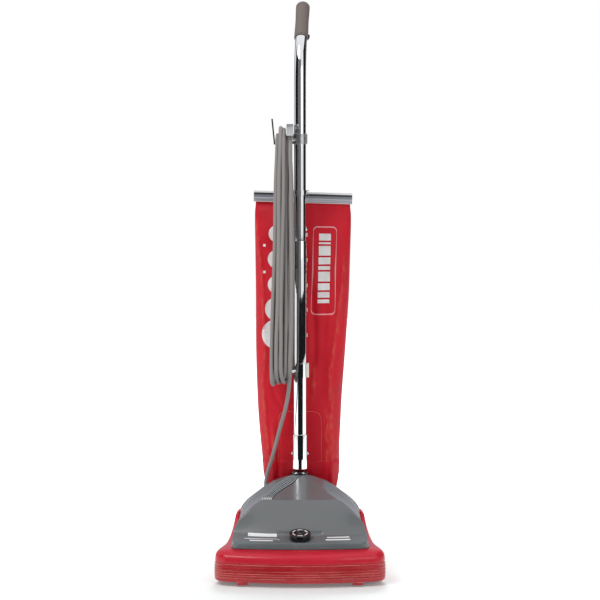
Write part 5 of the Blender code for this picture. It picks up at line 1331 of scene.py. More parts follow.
class VAC_OT_hood(bpy.types.Operator):
    """Makes the hood: dome, crest, creases, lip, ribbed strip and plain printed bars."""
    bl_idname = "vacuum.hood"
    bl_label = "Hood"

    def execute(self, context):
        self.shell()
        self.trim()
        self.ribs()
        self.print_bars()
        return {"FINISHED"}

    def shell(self):
        """The top sheet and the skirt that hangs from its edge, as one walled sheet.

        The skirt drops to the ledge, or only a little at the rear opening, and leans
        outward by a share of its drop.
        """
        x, y = hood_grid((84, 74), 221)
        top = np.stack([x, y, hood_height(x, y)], -1)
        edge = np.concatenate([top[0], top[1:, -1], top[-1, -2::-1], top[-2:0:-1, 0]])
        bottom = LEDGE_TOP + PARTING_STEP + ledge_rise(edge[:, 1])
        sheet = surface("hood_top", top, hood_gloss(), sharp=70, out=(0, 0, 1))
        rear = (np.abs(edge[:, 0]) < OPENING_RADIUS) & (edge[:, 1] > 0.0)
        drop = np.where(rear, edge[:, 2] - 0.0030, bottom)
        skirt = []
        outward = edge[:, :2] - np.array((0.0, -0.02))
        outward /= np.linalg.norm(outward, axis=1, keepdims=True)
        for share, out in ((0.0, 0.0), (0.06, 0.0005), (0.15, 0.0009), (0.5, 0.0011),
                           (1.0, 0.0013)):
            ring = edge.copy()
            ring[:, :2] += outward * np.where(rear, 0.0, out)[:, None]
            ring[:, 2] = edge[:, 2] + (drop - edge[:, 2]) * share
            skirt.append(ring)
        lip = surface("hood_lip", np.array(skirt), lip_gloss(), round_columns=True, sharp=60)
        shell = joined("hood_shell", [sheet, lip])
        with edited(shell.data) as work:
            bmesh.ops.remove_doubles(work, verts=work.verts, dist=2e-5)
            bmesh.ops.recalc_face_normals(work, faces=work.faces)
            highest = max(work.faces, key=lambda face: face.calc_center_median().z)
            if highest.normal.z < 0:
                bmesh.ops.reverse_faces(work, faces=work.faces)
        smoothed(shell.data, 55)
        walled(shell, 0.0022)
        finished(shell, "base", ("hood",))

    def trim(self):
        """The moulded lip: a crisp band set proud of the hood's front and sides.

        Rings of the plan outline are stacked from its foot to its top edge; towards the
        rear they draw in until the band sinks into the hood's own wall.
        """
        plain = hood_plan(0.0)
        foot = LEDGE_TOP + PARTING_STEP + ledge_rise(plain[:, 1])
        tall = lip_height(plain[:, 1])
        proud = eased((0.000 - plain[:, 1]) / 0.060)
        rings = []
        for share, lift, out in ((0.0, 0.0002, -0.0004), (0.0, 0.0006, 0.0016),
                                 (0.5, 0.0, 0.0018), (1.0, -0.0008, 0.0017),
                                 (1.0, -0.0002, 0.0013), (1.0, 0.0001, 0.0006),
                                 (1.0, -0.0002, -0.0004), (1.0, -0.0030, -0.0012)):
            near = hood_plan(-out)
            ring = plain + (near - plain) * proud[:, None]
            ring = ring + (hood_plan(0.0024) - plain) * (1 - proud)[:, None]
            rings.append(np.column_stack([ring, foot + tall * share + lift]))
        shown = np.array(rings)[:, open_run(plain[:, 1] < TRIM_REAR)]
        band = surface("hood_trim", shown, lip_gloss(), sharp=45, out=(0, -1, 0))
        finished(band, "base")

    def ribs(self):
        """Six fine ribs side by side that sweep from the handle to the crest's left end.

        The strip lies between two curves in plan; each rib is a raised sine across it.
        """
        left = smooth_curve([(-0.0200, 0.0262), (-0.0360, 0.0150), (-0.0502, 0.0035),
                             (-0.0661, -0.0222), (-0.0765, -0.0457), (-0.0812, -0.0616)], 70)
        right = smooth_curve([(-0.0010, 0.0262), (-0.0060, 0.0150), (-0.0160, -0.0020),
                              (-0.0283, -0.0152), (-0.0496, -0.0409), (-0.0601, -0.0616)], 70)
        w = np.linspace(0, 1, 109)
        x = left[:, :1] + (right[:, :1] - left[:, :1]) * w
        y = left[:, 1:] + (right[:, 1:] - left[:, 1:]) * w
        proud = 0.0002 + 0.0018 * np.abs(np.sin(w * math.pi * 6)) ** 0.8
        t = np.linspace(0, 1, 70)[:, None]
        fade = eased((1 - t) / 0.03) * eased(t / 0.03) * eased(w / 0.02) * eased((1 - w) / 0.02)
        z = hood_height(x, y) + proud * fade - 0.0004 * (1 - fade)
        strip = surface("hood_ribs", np.stack([x, y, z], -1), rib_gloss(), sharp=50,
                        out=(0, 0, 1))
        finished(strip, "base")

    def print_bars(self):
        """Plain printed bars on both sides of the knob, which spell nothing."""
        bars = ((-0.1080, -0.0480, -0.1190, 0.0100), (-0.1150, -0.0420, -0.1335, 0.0022),
                (-0.1040, -0.0560, -0.1420, 0.0050), (0.0560, 0.1020, -0.1270, 0.0050),
                (0.0530, 0.1040, -0.1380, 0.0060))
        made = []
        for left, right, y, depth in bars:
            u = np.linspace(left, right, 60)[None]
            v = np.linspace(y - depth / 2, y + depth / 2, 12)[:, None]
            x, y_at = np.broadcast_arrays(u, v)
            y_at = y_at + HOOD_BOW * (x / HOOD_HALF_WIDTH) ** 2
            points = np.stack([x, y_at, hood_height(x, y_at) + 0.00018], -1)
            made.append(surface("bar", points, white_print(), out=(0, 0, 1)))
        finished(joined("hood_bars", made), "base")


class VAC_OT_knob(bpy.types.Operator):
    """Makes the height knob with its rim, its dished middle and six dashes."""
    bl_idname = "vacuum.knob"
    bl_label = "Height knob"

    def execute(self, context):
        low = np.array([(0.0040, -0.0060), (0.0208, -0.0005), (0.0222, 0.0002)])
        turn = np.linspace(0, math.pi / 2, 8)
        rim = np.stack([0.0214 + 0.0008 * np.cos(turn), 0.0114 + 0.0011 * np.sin(turn)], 1)
        inner = np.array([(0.0150, 0.0126), (0.0135, 0.0124), (0.0127, 0.0117),
                          (0.0118, 0.0096), (0.0090, 0.0088), (0.0, 0.0086)])
        profile = np.vstack([[(0.0, -0.0060)], low, [(0.0224, 0.0030)], rim, inner])
        knob = turned("knob_body", profile, KNOB_PLACE, KNOB_AXIS, black_gloss(), sides=120,
                      sharp=45)
        finished(knob, "knob", ("height_knob",))
        dashes = [self.dash(math.radians(60 * k + 30)) for k in range(6)]
        finished(joined("knob_dashes", dashes), "knob")
        return {"FINISHED"}

    def dash(self, bearing):
        """A printed dash about a bearing, bent halfway from an arc to a hexagon's side."""
        first = np.array((1.0, 0.0, 0.0))
        second = np.cross(np.array(KNOB_AXIS), first)
        angle = bearing + np.linspace(-0.36, 0.36, 14)[None]
        reach = np.linspace(0.0142, 0.0170, 4)[:, None]
        flat = math.cos(math.pi / 6) / np.cos(angle - bearing)
        radius = reach * (0.55 + 0.45 * flat)
        points = (np.array(KNOB_PLACE) + np.array(KNOB_AXIS) * 0.01268
                  + (radius * np.cos(angle))[..., None] * first
                  + (radius * np.sin(angle))[..., None] * second)
        return surface("dash", points, white_print(), out=KNOB_AXIS)


# ---- Bag -----------------------------------------------------------------------------
# Height, left edge, right edge, front and rear of the bag, from its foot to its clip.
BAG_LEVELS = ((0.140, -0.0735, 0.0805, 0.098, 0.152), (0.180, -0.0790, 0.0850, 0.088, 0.158),
              (0.215, -0.0815, 0.0857, 0.086, 0.165), (0.250, -0.0850, 0.0860, 0.085, 0.172),
              (0.300, -0.0895, 0.0885, 0.085, 0.182), (0.353, -0.0925, 0.0910, 0.085, 0.188),
              (0.458, -0.0955, 0.0985, 0.085, 0.190), (0.574, -0.0957, 0.1060, 0.087, 0.186),
              (0.660, -0.0965, 0.1085, 0.093, 0.172), (0.720, -0.0972, 0.1100, 0.101, 0.155),
              (0.755, -0.0978, 0.1108, 0.112, 0.138), (0.772, -0.0965, 0.1095, 0.120, 0.130),
              (0.799, -0.0965, 0.1095, 0.120, 0.130))
BAG_SHAPE = smooth_curve(BAG_LEVELS, 400)
BAG_TOP = 0.7985
HEM_TOP = 0.2160
HEM_FOOT = 0.1500
CLIP_CENTRE = (0.0065, 0.125, 0.789)
CLIP_SLOPE = 0.0314         # the tangent of the clip's tilt, 1.8 degrees
CREASE_DEPTH = 0.0035       # the setting at which the creases are as deep as listed
# Creases of the cloth: depth, width, and (x, height) places along each one.
CREASES = (
    (0.0034, 0.0062, ((0.0960, 0.660), (0.0927, 0.605), (0.0820, 0.520), (0.0777, 0.480),
                      (0.0647, 0.417), (0.0670, 0.342), (0.0690, 0.236), (0.0700, 0.150))),
    (0.0030, 0.0055, ((-0.0945, 0.740), (-0.0930, 0.700), (-0.0830, 0.627), (-0.0765, 0.470),
                      (-0.0777, 0.437), (-0.0820, 0.386), (-0.0760, 0.300), (-0.0640, 0.200))),
    (-0.0046, 0.0075, ((0.0250, 0.600), (0.0290, 0.540), (0.0330, 0.470), (0.0280, 0.400))),
    (0.0030, 0.0050, ((0.0310, 0.430), (0.0300, 0.390), (0.0280, 0.355))),
    (-0.0052, 0.0050, ((-0.0500, 0.290), (-0.0480, 0.240), (-0.0470, 0.180), (-0.0470, 0.150))),
    (0.0026, 0.0050, ((-0.0600, 0.300), (-0.0580, 0.250), (-0.0570, 0.180))),
    (-0.0030, 0.0060, ((-0.0620, 0.380), (-0.0480, 0.345), (-0.0330, 0.325))),
    (-0.0028, 0.0090, ((0.0520, 0.660), (0.0560, 0.560), (0.0500, 0.470), (0.0460, 0.360))),
    (0.0022, 0.0070, ((0.0560, 0.330), (0.0590, 0.260), (0.0560, 0.190))),
)


# The foot's reach from the handle's pivot: in front, what the duct adds, and behind.
FRONT_REACH = 0.0960
DUCT_REACH = 0.0120
REAR_REACH = 0.1228
DUCT_SIDE = 0.034


def sweep_radius(x, away, above):
    """Reach from the handle's pivot that the bag's foot keeps as it swings back.

    It is least in front, grows over the duct in the middle, and grows again towards
    the rear, where the foot passes the rear wall and the pedal.
    """
    least = FRONT_REACH + DUCT_REACH * eased((DUCT_SIDE - np.abs(x)) / 0.012)
    share = eased((np.degrees(np.arctan2(away, above)) - 24.0) / 12.0)
    return least + (REAR_REACH - least) * share


def foot_height(x, y):
    """Height of the bag's foot: where the upright line at (x, y) leaves that reach."""
    away = np.clip(y - PIVOT.y, 0.0, 0.1200)
    above = np.sqrt(REAR_REACH ** 2 - away ** 2)
    for _ in range(12):
        reach = sweep_radius(x, away, above)
        above = np.sqrt(np.maximum(reach ** 2 - away ** 2, 0.0260 ** 2))
    return PIVOT.z + above


def squared(wave):
    """A sine or cosine pushed outwards, so that a section is rounder than an ellipse."""
    return np.sign(wave) * np.abs(wave) ** 0.7


def bag_section(height):
    """The bag's middle, half width, middle depth and half depth at a height."""
    left, right, front, rear = (np.interp(height, BAG_SHAPE[:, 0], BAG_SHAPE[:, k])
                                for k in range(1, 5))
    return (left + right) / 2, (right - left) / 2, (front + rear) / 2, (rear - front) / 2


def crease_height(x, height, bank):
    """The sum of a bank of creases: each is a bell across its line that fades at its ends."""
    total = np.zeros(np.broadcast(x, height).shape)
    for depth, width, places in bank:
        places = np.array(sorted(places, key=lambda place: place[1]))
        line = np.interp(height, places[:, 1], places[:, 0])
        low, high = places[0, 1], places[-1, 1]
        fade = eased((height - low + 0.02) / 0.05) * eased((high + 0.02 - height) / 0.05)
        total = total + depth * fade * np.exp(-((x - line) / width) ** 2)
    return total


def slack(x, height):
    """Slow waves of the slack cloth, from a few crossed sines of fixed phase."""
    waves = (0.0011 * np.sin(41 * x + 9 * height + 0.4) * np.sin(13 * height + 1.1)
             + 0.0007 * np.sin(88 * x - 15 * height + 2.0) * np.sin(22 * height + 0.3)
             + 0.0004 * np.sin(160 * x + 34 * height) * np.sin(47 * height + 1.9))
    return waves * eased((0.765 - height) / 0.10)


def bag_front(x, height):
    """Depth of the front face: the section's own curve, with creases and slack."""
    middle, half, centre, depth = bag_section(height)
    share = np.clip(np.abs((x - middle) / half), 0.0, 1.0)
    plain = centre - depth * (1 - share ** 2.857) ** 0.35
    calm = eased((1 - share) / 0.12) * eased((0.772 - height) / 0.06)
    scale = look().fold_depth / CREASE_DEPTH
    return plain - scale * calm * (crease_height(x, height, CREASES) + slack(x, height))


def bag_tilt(x, height):
    """How far a place near the clip is lowered by the clip's own slope."""
    return CLIP_SLOPE * (x - CLIP_CENTRE[0]) * np.clip((height - 0.66) / 0.1, 0.0, 1.0)


@shared
def bag_cloth():
    """Coated red cloth: weave from the UV map, cloudy dye, painted highlights on raised creases."""
    made, graph, node = finish("bag_cloth", tuple(look().red), 0.42, specular=0.22)
    weave = use_group(graph, weave_group, Threads_Across=float(look().threads) * 0.55,
                      Threads_Along=float(look().threads) * 0.66)
    speckle = use_group(graph, speckle_group, Scale=240.0, Smudge_Scale=7.0)
    red = tuple(look().red)
    shade = graph.mix(speckle["Smudge"], (red[0] * 1.00, red[1] * 0.45, red[2] * 0.62, 1.0),
                      (red[0] * 1.22, red[1] * 0.80, red[2] * 0.80, 1.0))
    # Painted highlight: pale orange along the raised creases, broken into patches, stands in for light on the
    # folds.
    crease_highlight = graph.add("Attribute", {"attribute_name": "crease_highlight"}).outputs["Fac"]
    patch = graph.noise(graph.place(scale=(1.0, 1.0, 0.35)), 130.0, 4.0, 0.65)
    mask = graph.math("MULTIPLY", crease_highlight, graph.steps(patch, 0.38, 0.66, 0.0, 0.55))
    shade = graph.mix(mask, shade, (0.72, 0.130, 0.075, 1.0))
    thread = graph.steps(weave["Height"], 0.1, 0.9, 0.90, 1.05)
    tone = graph.add("CombineColor")
    for channel in range(3):
        graph.give(tone.inputs[channel], thread)
    shade = graph.mix(1.0, shade, tone.outputs[0], "MULTIPLY")
    graph.give(node.inputs["Base Color"], shade)
    graph.give(node.inputs["Roughness"], graph.steps(speckle["Smudge"], 0.0, 1.0, 0.34, 0.50))
    coarse = bumped(graph, node, speckle["Grain"], 0.0004, 0.6)
    bumped(graph, node, weave["Height"], 0.00012, 0.8, before=coarse)
    return made


class VAC_OT_bag(bpy.types.Operator):
    """Makes the cloth bag with its creases, sewn panel, seams and plain print."""
    bl_idname = "vacuum.bag"
    bl_label = "Bag"

    def execute(self, context):
        wall = self.wall_points()
        cloth = surface("bag_wall", wall, bag_cloth(), round_columns=True, size=(0.60, 0.62),
                        sharp=180)
        base = surface("bag_foot", self.foot_points(wall[0]), bag_cloth(), round_columns=True,
                       size=(0.60, 0.05), sharp=180, out=(0, 0.5, -1))
        bag = joined("bag", [cloth, base])
        with edited(bag.data) as work:
            bmesh.ops.remove_doubles(work, verts=work.verts, dist=1e-5)
            rim = [edge for edge in work.edges if edge.is_boundary]
            bmesh.ops.holes_fill(work, edges=rim, sides=0)
            face_outward(work)
        bag.data.shade_smooth()
        self.mark_crease_highlights(bag.data)
        finished(bag, "handle", ("bag_body",))
        self.hem()
        self.panel_seam()
        self.printed()
        return {"FINISHED"}

    def wall_points(self):
        """The bag's sides, from the foot to the clip, in even shares of their height.

        Each section is the bag's own at that height, with the front's creases, slack
        behind and a seam down both sides. What lies within the foot's reach of the
        handle's pivot is pushed straight out to it.
        """
        rows, columns = 260, 300
        angle = np.linspace(0, math.tau, columns, endpoint=False)[None]
        section = bag_section(np.full((1, columns), 0.18))
        side = squared(np.sin(angle))
        across = squared(np.cos(angle))
        foot_y = section[2] + section[3] * side
        foot = foot_height(section[0] + section[1] * across, foot_y)
        height = foot + (BAG_TOP - foot) * np.linspace(0, 1, rows)[:, None]
        middle, half, centre, depth = bag_section(height)
        x = middle + half * across
        y = centre + depth * side
        front = np.sin(angle) < 0
        y = np.where(front, bag_front(x, height), y + slack(x, height + 0.3) * 1.4)
        seam = 0.0012 * np.exp(-((side - 0.02) / 0.05) ** 2)
        x = x + np.sign(across) * seam * eased((0.77 - height) / 0.05)
        reach = np.hypot(y - PIVOT.y, height - PIVOT.z)
        inside = np.maximum(sweep_radius(x, y - PIVOT.y, height - PIVOT.z) - reach, 0.0)
        y = y + inside * (y - PIVOT.y) / reach
        z = height - bag_tilt(x, height) + inside * (height - PIVOT.z) / reach
        return np.stack([x, y, z], -1)

    def foot_points(self, rim):
        """Rings that close the foot: the rim drawn in to its middle, at the foot's reach."""
        rings = []
        for share in (1.0, 0.985, 0.93, 0.8, 0.6, 0.4, 0.2, 0.02):
            ring = rim.copy()
            ring[:, :2] = rim[:, :2].mean(0) + (rim[:, :2] - rim[:, :2].mean(0)) * share
            ring[:, 2] = foot_height(ring[:, 0], ring[:, 1]) if share < 1 else rim[:, 2]
            rings.append(ring)
        return np.array(rings)

    def mark_crease_highlights(self, mesh):
        """Marks the front's raised creases, where a painted pale highlight is laid on the cloth."""
        place = np.empty(len(mesh.vertices) * 3)
        mesh.vertices.foreach_get("co", place)
        x, y, z = place.reshape(-1, 3).T
        ridge = crease_height(x, z, [(1.0, width * 0.62, line) for depth, width, line in CREASES
                                     if depth > 0])
        crease_highlight = mesh.attributes.new("crease_highlight", "FLOAT", "POINT")
        crease_highlight.data.foreach_set("value", np.clip(ridge, 0, 1) * (y < bag_section(z)[2]))

    def hem(self):
        """The loose cloth at the foot of the front, which hangs down behind the hood.

        It follows the bag's own section at each height, a hair's breadth outside it,
        with an arch over the duct.
        """
        angle = np.linspace(math.pi * 0.985, math.tau * 1.0075, 160)[None]
        across = squared(np.cos(angle))
        middle, half = bag_section(np.full((1, 1), 0.20))[:2]
        foot = HEM_FOOT + 0.0450 * eased((DUCT_SIDE - np.abs(middle + half * across))
                                         / 0.012)
        to_end = np.minimum(angle - angle.min(), angle.max() - angle)
        foot = foot + 0.0560 * eased(1.0 - to_end / 0.42)
        height = foot + (HEM_TOP - foot) * np.linspace(0, 1, 26)[:, None]
        middle, half = bag_section(height)[:2]
        clear = eased((HEM_TOP - height) / 0.010)
        x = middle + half * across * (1.0 + 0.0060 * clear)
        y = bag_front(middle + half * across, height) - 0.0006 * clear
        hem = surface("bag_hem", np.stack([x, y, height], -1), bag_cloth(),
                      size=(0.21, 0.066), sharp=180, out=(0, -1, 0))
        walled(hem, 0.0010)
        finished(hem, "handle")
        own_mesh(hem)

    def panel_seam(self):
        """The welt and stitches of the panel that is sewn over the foot of the front.

        The line runs up from the foot, round a corner and across; the stitches are
        short rods that follow it just outside the cloth.
        """
        line = smooth_curve([(-0.0500, 0.2130), (-0.0500, 0.2500), (-0.0490, 0.3000),
                             (-0.0455, 0.3200), (-0.0300, 0.3275), (0.0000, 0.3275),
                             (0.0300, 0.3270), (0.0430, 0.3215), (0.0490, 0.3060),
                             (0.0496, 0.2600), (0.0496, 0.2130)], 181)
        path = np.column_stack([line[:, 0], bag_front(line[:, 0], line[:, 1]) - 0.0001,
                                line[:, 1]])
        welt = swept("bag_welt", path, circle(0.0009, 8), bag_cloth(), up=(0, 1, 0),
                     size=(0.004, 0.33))
        finished(welt, "handle")
        stitches = []
        shift = np.gradient(line, axis=0)
        shift = np.stack([shift[:, 1], -shift[:, 0]], 1)
        shift /= np.linalg.norm(shift, axis=1, keepdims=True)
        beside = line + shift * 0.0026
        for k in range(0, 178, 3):
            piece = beside[k:k + 3]
            run = np.column_stack([piece[:, 0],
                                   bag_front(piece[:, 0], piece[:, 1]) - 0.0003, piece[:, 1]])
            stitches.append(swept("stitch", run, circle(0.00042, 6), pale_thread(), up=(0, 1, 0)))
        finished(joined("bag_stitches", stitches), "handle")

    def printed(self):
        """Plain printed shapes: a rounded outline round bars, and a column of discs."""
        corners = ((0.0232, 0.5352), (0.0760, 0.5352), (0.0803, 0.7280), (0.0290, 0.7280))
        loop = rounded_plan([(x, z, 0.0095) for x, z in corners], steps=10, straight=40)
        middle = loop.mean(0)
        inner = loop - 0.0030 * (loop - middle) / np.linalg.norm(loop - middle, axis=1)[:, None]
        outline = self.draped(np.stack([loop, (loop + inner) / 2, inner]), pale_print(), True)
        outline.name = "bag_outline"
        finished(outline, "handle")
        shapes = []
        z = 0.7120
        for tall in (0.0190, 0.0080, 0.0250, 0.0190, 0.0120, 0.0250, 0.0190, 0.0160, 0.0120):
            lean = 0.0238 * (z - 0.6316)
            shapes.append(self.bar(0.0395 + lean, 0.0650 + lean, z - tall + 0.0040, z))
            z -= tall
        for height, radius in ((0.7100, 0.0180), (0.6560, 0.0200), (0.6010, 0.0200),
                               (0.5480, 0.0260), (0.4930, 0.0330)):
            shapes.append(self.disc(-0.0500, height, radius))
            shapes.append(self.bar(-0.0150, 0.0165, height - 0.0050, height + 0.0030))
        for height in (0.6850, 0.6280):
            shapes.append(self.bar(-0.0800, -0.0745, height - 0.0028, height + 0.0028))
        finished(joined("bag_print", shapes), "handle")

    def draped(self, plan, material, closed=False):
        """Plan places (x, height) laid a hair's breadth in front of the bag's face."""
        x, height = plan[..., 0], plan[..., 1]
        points = np.stack([x, bag_front(x, height) - 0.00045, height - bag_tilt(x, height)], -1)
        return surface("print", points, material, round_columns=closed, out=(0, -1, 0))

    def bar(self, left, right, low, high):
        """A printed bar on a grid fine enough to follow the folds."""
        x, z = np.meshgrid(np.linspace(left, right, 14), np.linspace(low, high, 8))
        return self.draped(np.stack([x, z], -1), bag_ink())

    def disc(self, x, z, radius):
        """A printed disc: rings of points about its centre."""
        turn = np.linspace(0, math.tau, 40, endpoint=False)[None]
        reach = radius * np.linspace(0.02, 1, 10)[:, None]
        plan = np.stack([x + reach * np.cos(turn), z + reach * np.sin(turn)], -1)
        return self.draped(plan, bag_ink(), True)


@shared
def bag_ink():
    """Opaque white ink on cloth, with the weave showing through it faintly."""
    made, graph, node = finish("bag_ink", (0.86, 0.84, 0.84), 0.55)
    speckle = use_group(graph, speckle_group, Scale=1500.0, Smudge_Scale=40.0)
    graph.give(node.inputs["Base Color"],
               graph.mix(speckle["Smudge"], (0.78, 0.74, 0.74, 1.0), (0.90, 0.88, 0.88, 1.0)))
    bumped(graph, node, speckle["Grain"], 0.0001)
    return made


@shared
def pale_print():
    """The thin pink ink of the outline."""
    return moulded("pale_print", (0.86, 0.31, 0.33), 0.5, grain=1500.0, depth=0.00005)


@shared
def pale_thread():
    """Pale sewing thread with a twisted lay."""
    return moulded("pale_thread", (0.80, 0.24, 0.16), 0.7, grain=2600.0, depth=0.0001)


@shared
def clip_steel_reflection_bands():
    """The clip's finely brushed metal with painted reflection bands: dark near its top, paler below.

    The bands follow the height across the clip, which leans a little to one side.
    """
    made, graph, node = finish("clip_steel_reflection_bands", (0.55, 0.56, 0.60), 0.36, metallic=0.3, specular=0.3)
    x, _, z = graph.parts(graph.place())
    lean = graph.math("MULTIPLY", graph.math("SUBTRACT", x, CLIP_CENTRE[0]), CLIP_SLOPE)
    height = graph.math("SUBTRACT", graph.math("ADD", z, lean), CLIP_CENTRE[2])
    # Painted reflection: bright and dark bands by height stand in for the room mirrored in the metal.
    shade = (0.88, 0.84, 0.83, 1.0)
    for level_at, tone in ((-0.0100, (0.30, 0.26, 0.27, 1.0)), (-0.0086, (0.62, 0.63, 0.70, 1.0)),
                           (-0.0012, (0.235, 0.255, 0.290, 1.0)),
                           (0.0040, (0.012, 0.012, 0.014, 1.0)), (0.0082, (0.93, 0.93, 0.94, 1.0)),
                           (0.0108, (0.62, 0.63, 0.64, 1.0))):
        shade = graph.mix(graph.steps(height, level_at - 0.0004, level_at + 0.0004), shade, tone)
    streak = graph.noise(graph.place(scale=(6.0, 1500.0, 1500.0)), 1.0, 3.0)
    brushed = graph.mix(graph.steps(streak, 0.3, 0.7, 0.0, 0.10), shade, (0.9, 0.9, 0.95, 1.0))
    graph.give(node.inputs["Base Color"], brushed)
    graph.give(node.inputs["Roughness"], graph.steps(streak, 0.3, 0.7, 0.30, 0.44))
    bumped(graph, node, streak, 0.00001)
    return made


class VAC_OT_clip(bpy.types.Operator):
    """Makes the sprung channel that holds the folded top of the bag."""
    bl_idname = "vacuum.clip"
    bl_label = "Bag clip"

    def execute(self, context):
        tilt = math.radians(1.8)
        along = np.array((math.cos(tilt), 0.0, -math.sin(tilt)))
        up = np.array((math.sin(tilt), 0.0, math.cos(tilt)))
        deep, tall = 0.0070, 0.0120
        # The section, from the foot of the front face, over the top and down behind:
        # a lower lip that rolls forward, a face, a rib for the hanger, and the top.
        outer = np.array([(-deep - 0.0012, -tall + 0.0006), (-deep - 0.0016, -tall + 0.0018),
                          (-deep - 0.0008, -tall + 0.0030), (-deep, -tall + 0.0042),
                          (-deep, -0.0046), (-deep - 0.0046, -0.0040), (-deep - 0.0055, -0.0030),
                          (-deep - 0.0055, 0.0026), (-deep - 0.0050, 0.0030),
                          (-deep - 0.0044, 0.0028), (-deep - 0.0042, -0.0020),
                          (-deep - 0.0030, -0.0026), (-deep, -0.0026), (-deep, tall - 0.0022),
                          (-deep + 0.0010, tall - 0.0006), (-deep + 0.0026, tall),
                          (deep - 0.0026, tall), (deep - 0.0010, tall - 0.0006),
                          (deep, tall - 0.0022), (deep, -tall)])
        inner = np.array([(deep - 0.0012, -tall), (deep - 0.0012, tall - 0.0024),
                          (deep - 0.0030, tall - 0.0013), (-deep + 0.0030, tall - 0.0013),
                          (-deep + 0.0012, tall - 0.0024), (-deep + 0.0012, -tall + 0.0040),
                          (-deep + 0.0004, -tall + 0.0022), (-deep - 0.0004, -tall + 0.0006)])
        outline = np.vstack([outer, inner])
        reach = np.concatenate([[-0.107], np.linspace(-0.1068, 0.1068, 60), [0.107]])
        points = (np.array(CLIP_CENTRE) + reach[:, None, None] * along
                  + outline[None, :, :1] * np.array((0.0, 1.0, 0.0))
                  + outline[None, :, 1:] * up)
        clip = surface("clip_channel", points, clip_steel_reflection_bands(), round_columns=True, ends=True,
                       sharp=35)
        finished(clip, "clip", ("bag_clip",))
        return {"FINISHED"}


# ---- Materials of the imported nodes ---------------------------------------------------
class VAC_OT_works(bpy.types.Operator):
    """Gives the machine's inner parts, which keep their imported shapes, their finishes."""
    bl_idname = "vacuum.works"
    bl_label = "Inner works"

    def execute(self, context):
        makers = {"red_plastic": red_shell, "grey_gloss": hood_gloss,
                  "black_plastic": black_moulding, "grey_plastic": grey_moulding,
                  "steel": drawn_steel, "copper": wound_copper, "black_rubber": tyre_rubber,
                  "wood": varnished_wood, "chrome": bright_chrome, "grip_plastic": grip_plastic,
                  "cream_plastic": cream_moulding, "cord_vinyl": cord_vinyl,
                  "red_cloth": red_shell}
        for name, node in frame["nodes"].items():
            if name.startswith("bristles"):
                material = bristle_hair()
            else:
                material = makers[SLOT_OF[name]]()
            node.data.materials.clear()
            node.data.materials.append(material)
        return {"FINISHED"}


# ---- Stage ---------------------------------------------------------------------------
CAMERA_PLACE = (0.0, -3.75, 0.87)
CAMERA_DIP = math.radians(4.5)
LENS = 106.6
FLAG_REACH = 1.5
FLAG_SPLIT = 0.634          # height where the upper flags end and the middle ones begin
# Upright flags: name, first and last bearing in degrees, lowest and highest, cloth.
FLAGS = (("flag_high_far", -102, -42, FLAG_SPLIT, 2.3, "dark"),
         ("flag_high_near", -42, 7, FLAG_SPLIT, 2.3, "grey"),
         ("flag_high_line", 7, 17, FLAG_SPLIT, 2.3, "dark"),
         ("flag_high_right", 69, 150, FLAG_SPLIT, 2.3, "dark"),
         ("flag_middle", -38, 52, 0.03, FLAG_SPLIT, "dark"),
         ("flag_middle_right", 52, 116, 0.36, FLAG_SPLIT, "dark"),
         ("flag_middle_far", 118, 180, 0.002, 3.6, "pale"),
         ("flag_middle_left", -180, -122, 0.002, 3.6, "pale"))


def card(name, corner, along, up, material):
    """A flat sheet between a corner and two edges, for the floor and the studio cards."""
    u, v = np.meshgrid(np.linspace(0, 1, 2), np.linspace(0, 1, 2), indexing="ij")
    points = (np.asarray(corner, dtype=float) + u[..., None] * np.asarray(along, dtype=float)
              + v[..., None] * np.asarray(up, dtype=float))
    facing = np.cross(np.asarray(along, dtype=float), np.asarray(up, dtype=float))
    piece = surface(name, points, material, out=facing)
    return piece


def seen_ray(graph):
    """One for rays from the camera, mirrors and glass, and none for those that light."""
    path = graph.add("LightPath").outputs
    return graph.math("MAXIMUM", path["Is Camera Ray"],
                      graph.math("MAXIMUM", path["Is Glossy Ray"], path["Is Transmission Ray"]))


def white_world(daylight):
    """An even room light; cameras, mirrors and glass see plain white around them."""
    world = bpy.data.worlds.new("studio")
    bpy.context.scene.world = world
    world.use_nodes = True
    graph = Graph(world.node_tree)
    shade = world.node_tree.nodes["Background"]
    shade.inputs["Color"].default_value = (1.0, 1.0, 1.0, 1.0)
    graph.give(shade.inputs["Strength"], graph.steps(seen_ray(graph), 0.0, 1.0, daylight, 1.0))


def white_floor():
    """The floor's paper: shadows are kept, and cameras and mirrors see it as white.

    Its own light is added only for rays that look at it, so that it lights nothing,
    and grows with the distance from the machine.
    """
    made, graph, node = finish("floor_paper", (0.80, 0.84, 0.84), 0.9, specular=0.0)
    node.inputs["Emission Color"].default_value = (1.0, 1.0, 1.0, 1.0)
    far = graph.add("VectorMath", {"operation": "LENGTH"})
    graph.give(far.inputs[0], graph.place())
    glow = graph.steps(far.outputs["Value"], 0.30, 0.85, 0.14, 0.90)
    graph.give(node.inputs["Emission Strength"], graph.math("MULTIPLY", seen_ray(graph), glow))
    bumped(graph, node, graph.noise(graph.place(), 420.0, 3.0), 0.00005)
    return made


@shared
def flag_cloth():
    """The black cloth of the studio's flags."""
    return moulded("flag_cloth", (0.012, 0.012, 0.013), 0.9, grain=300.0, specular=0.0)


def glowing_cloth(name, glow):
    """The cloth of a paler studio flag, which shows one even shade in mirrors."""
    made = moulded(name, (0.05, 0.05, 0.05), 0.9, grain=300.0, specular=0.0)
    node = made.node_tree.nodes["Principled BSDF"]
    node.inputs["Emission Color"].default_value = (*glow, 1.0)
    node.inputs["Emission Strength"].default_value = 1.0
    return made


def only_mirrors(piece):
    """Leaves a studio card to be seen by mirrored rays alone."""
    piece.visible_camera = False
    piece.visible_diffuse = False
    piece.visible_transmission = False
    piece.visible_shadow = False
    piece.visible_volume_scatter = False


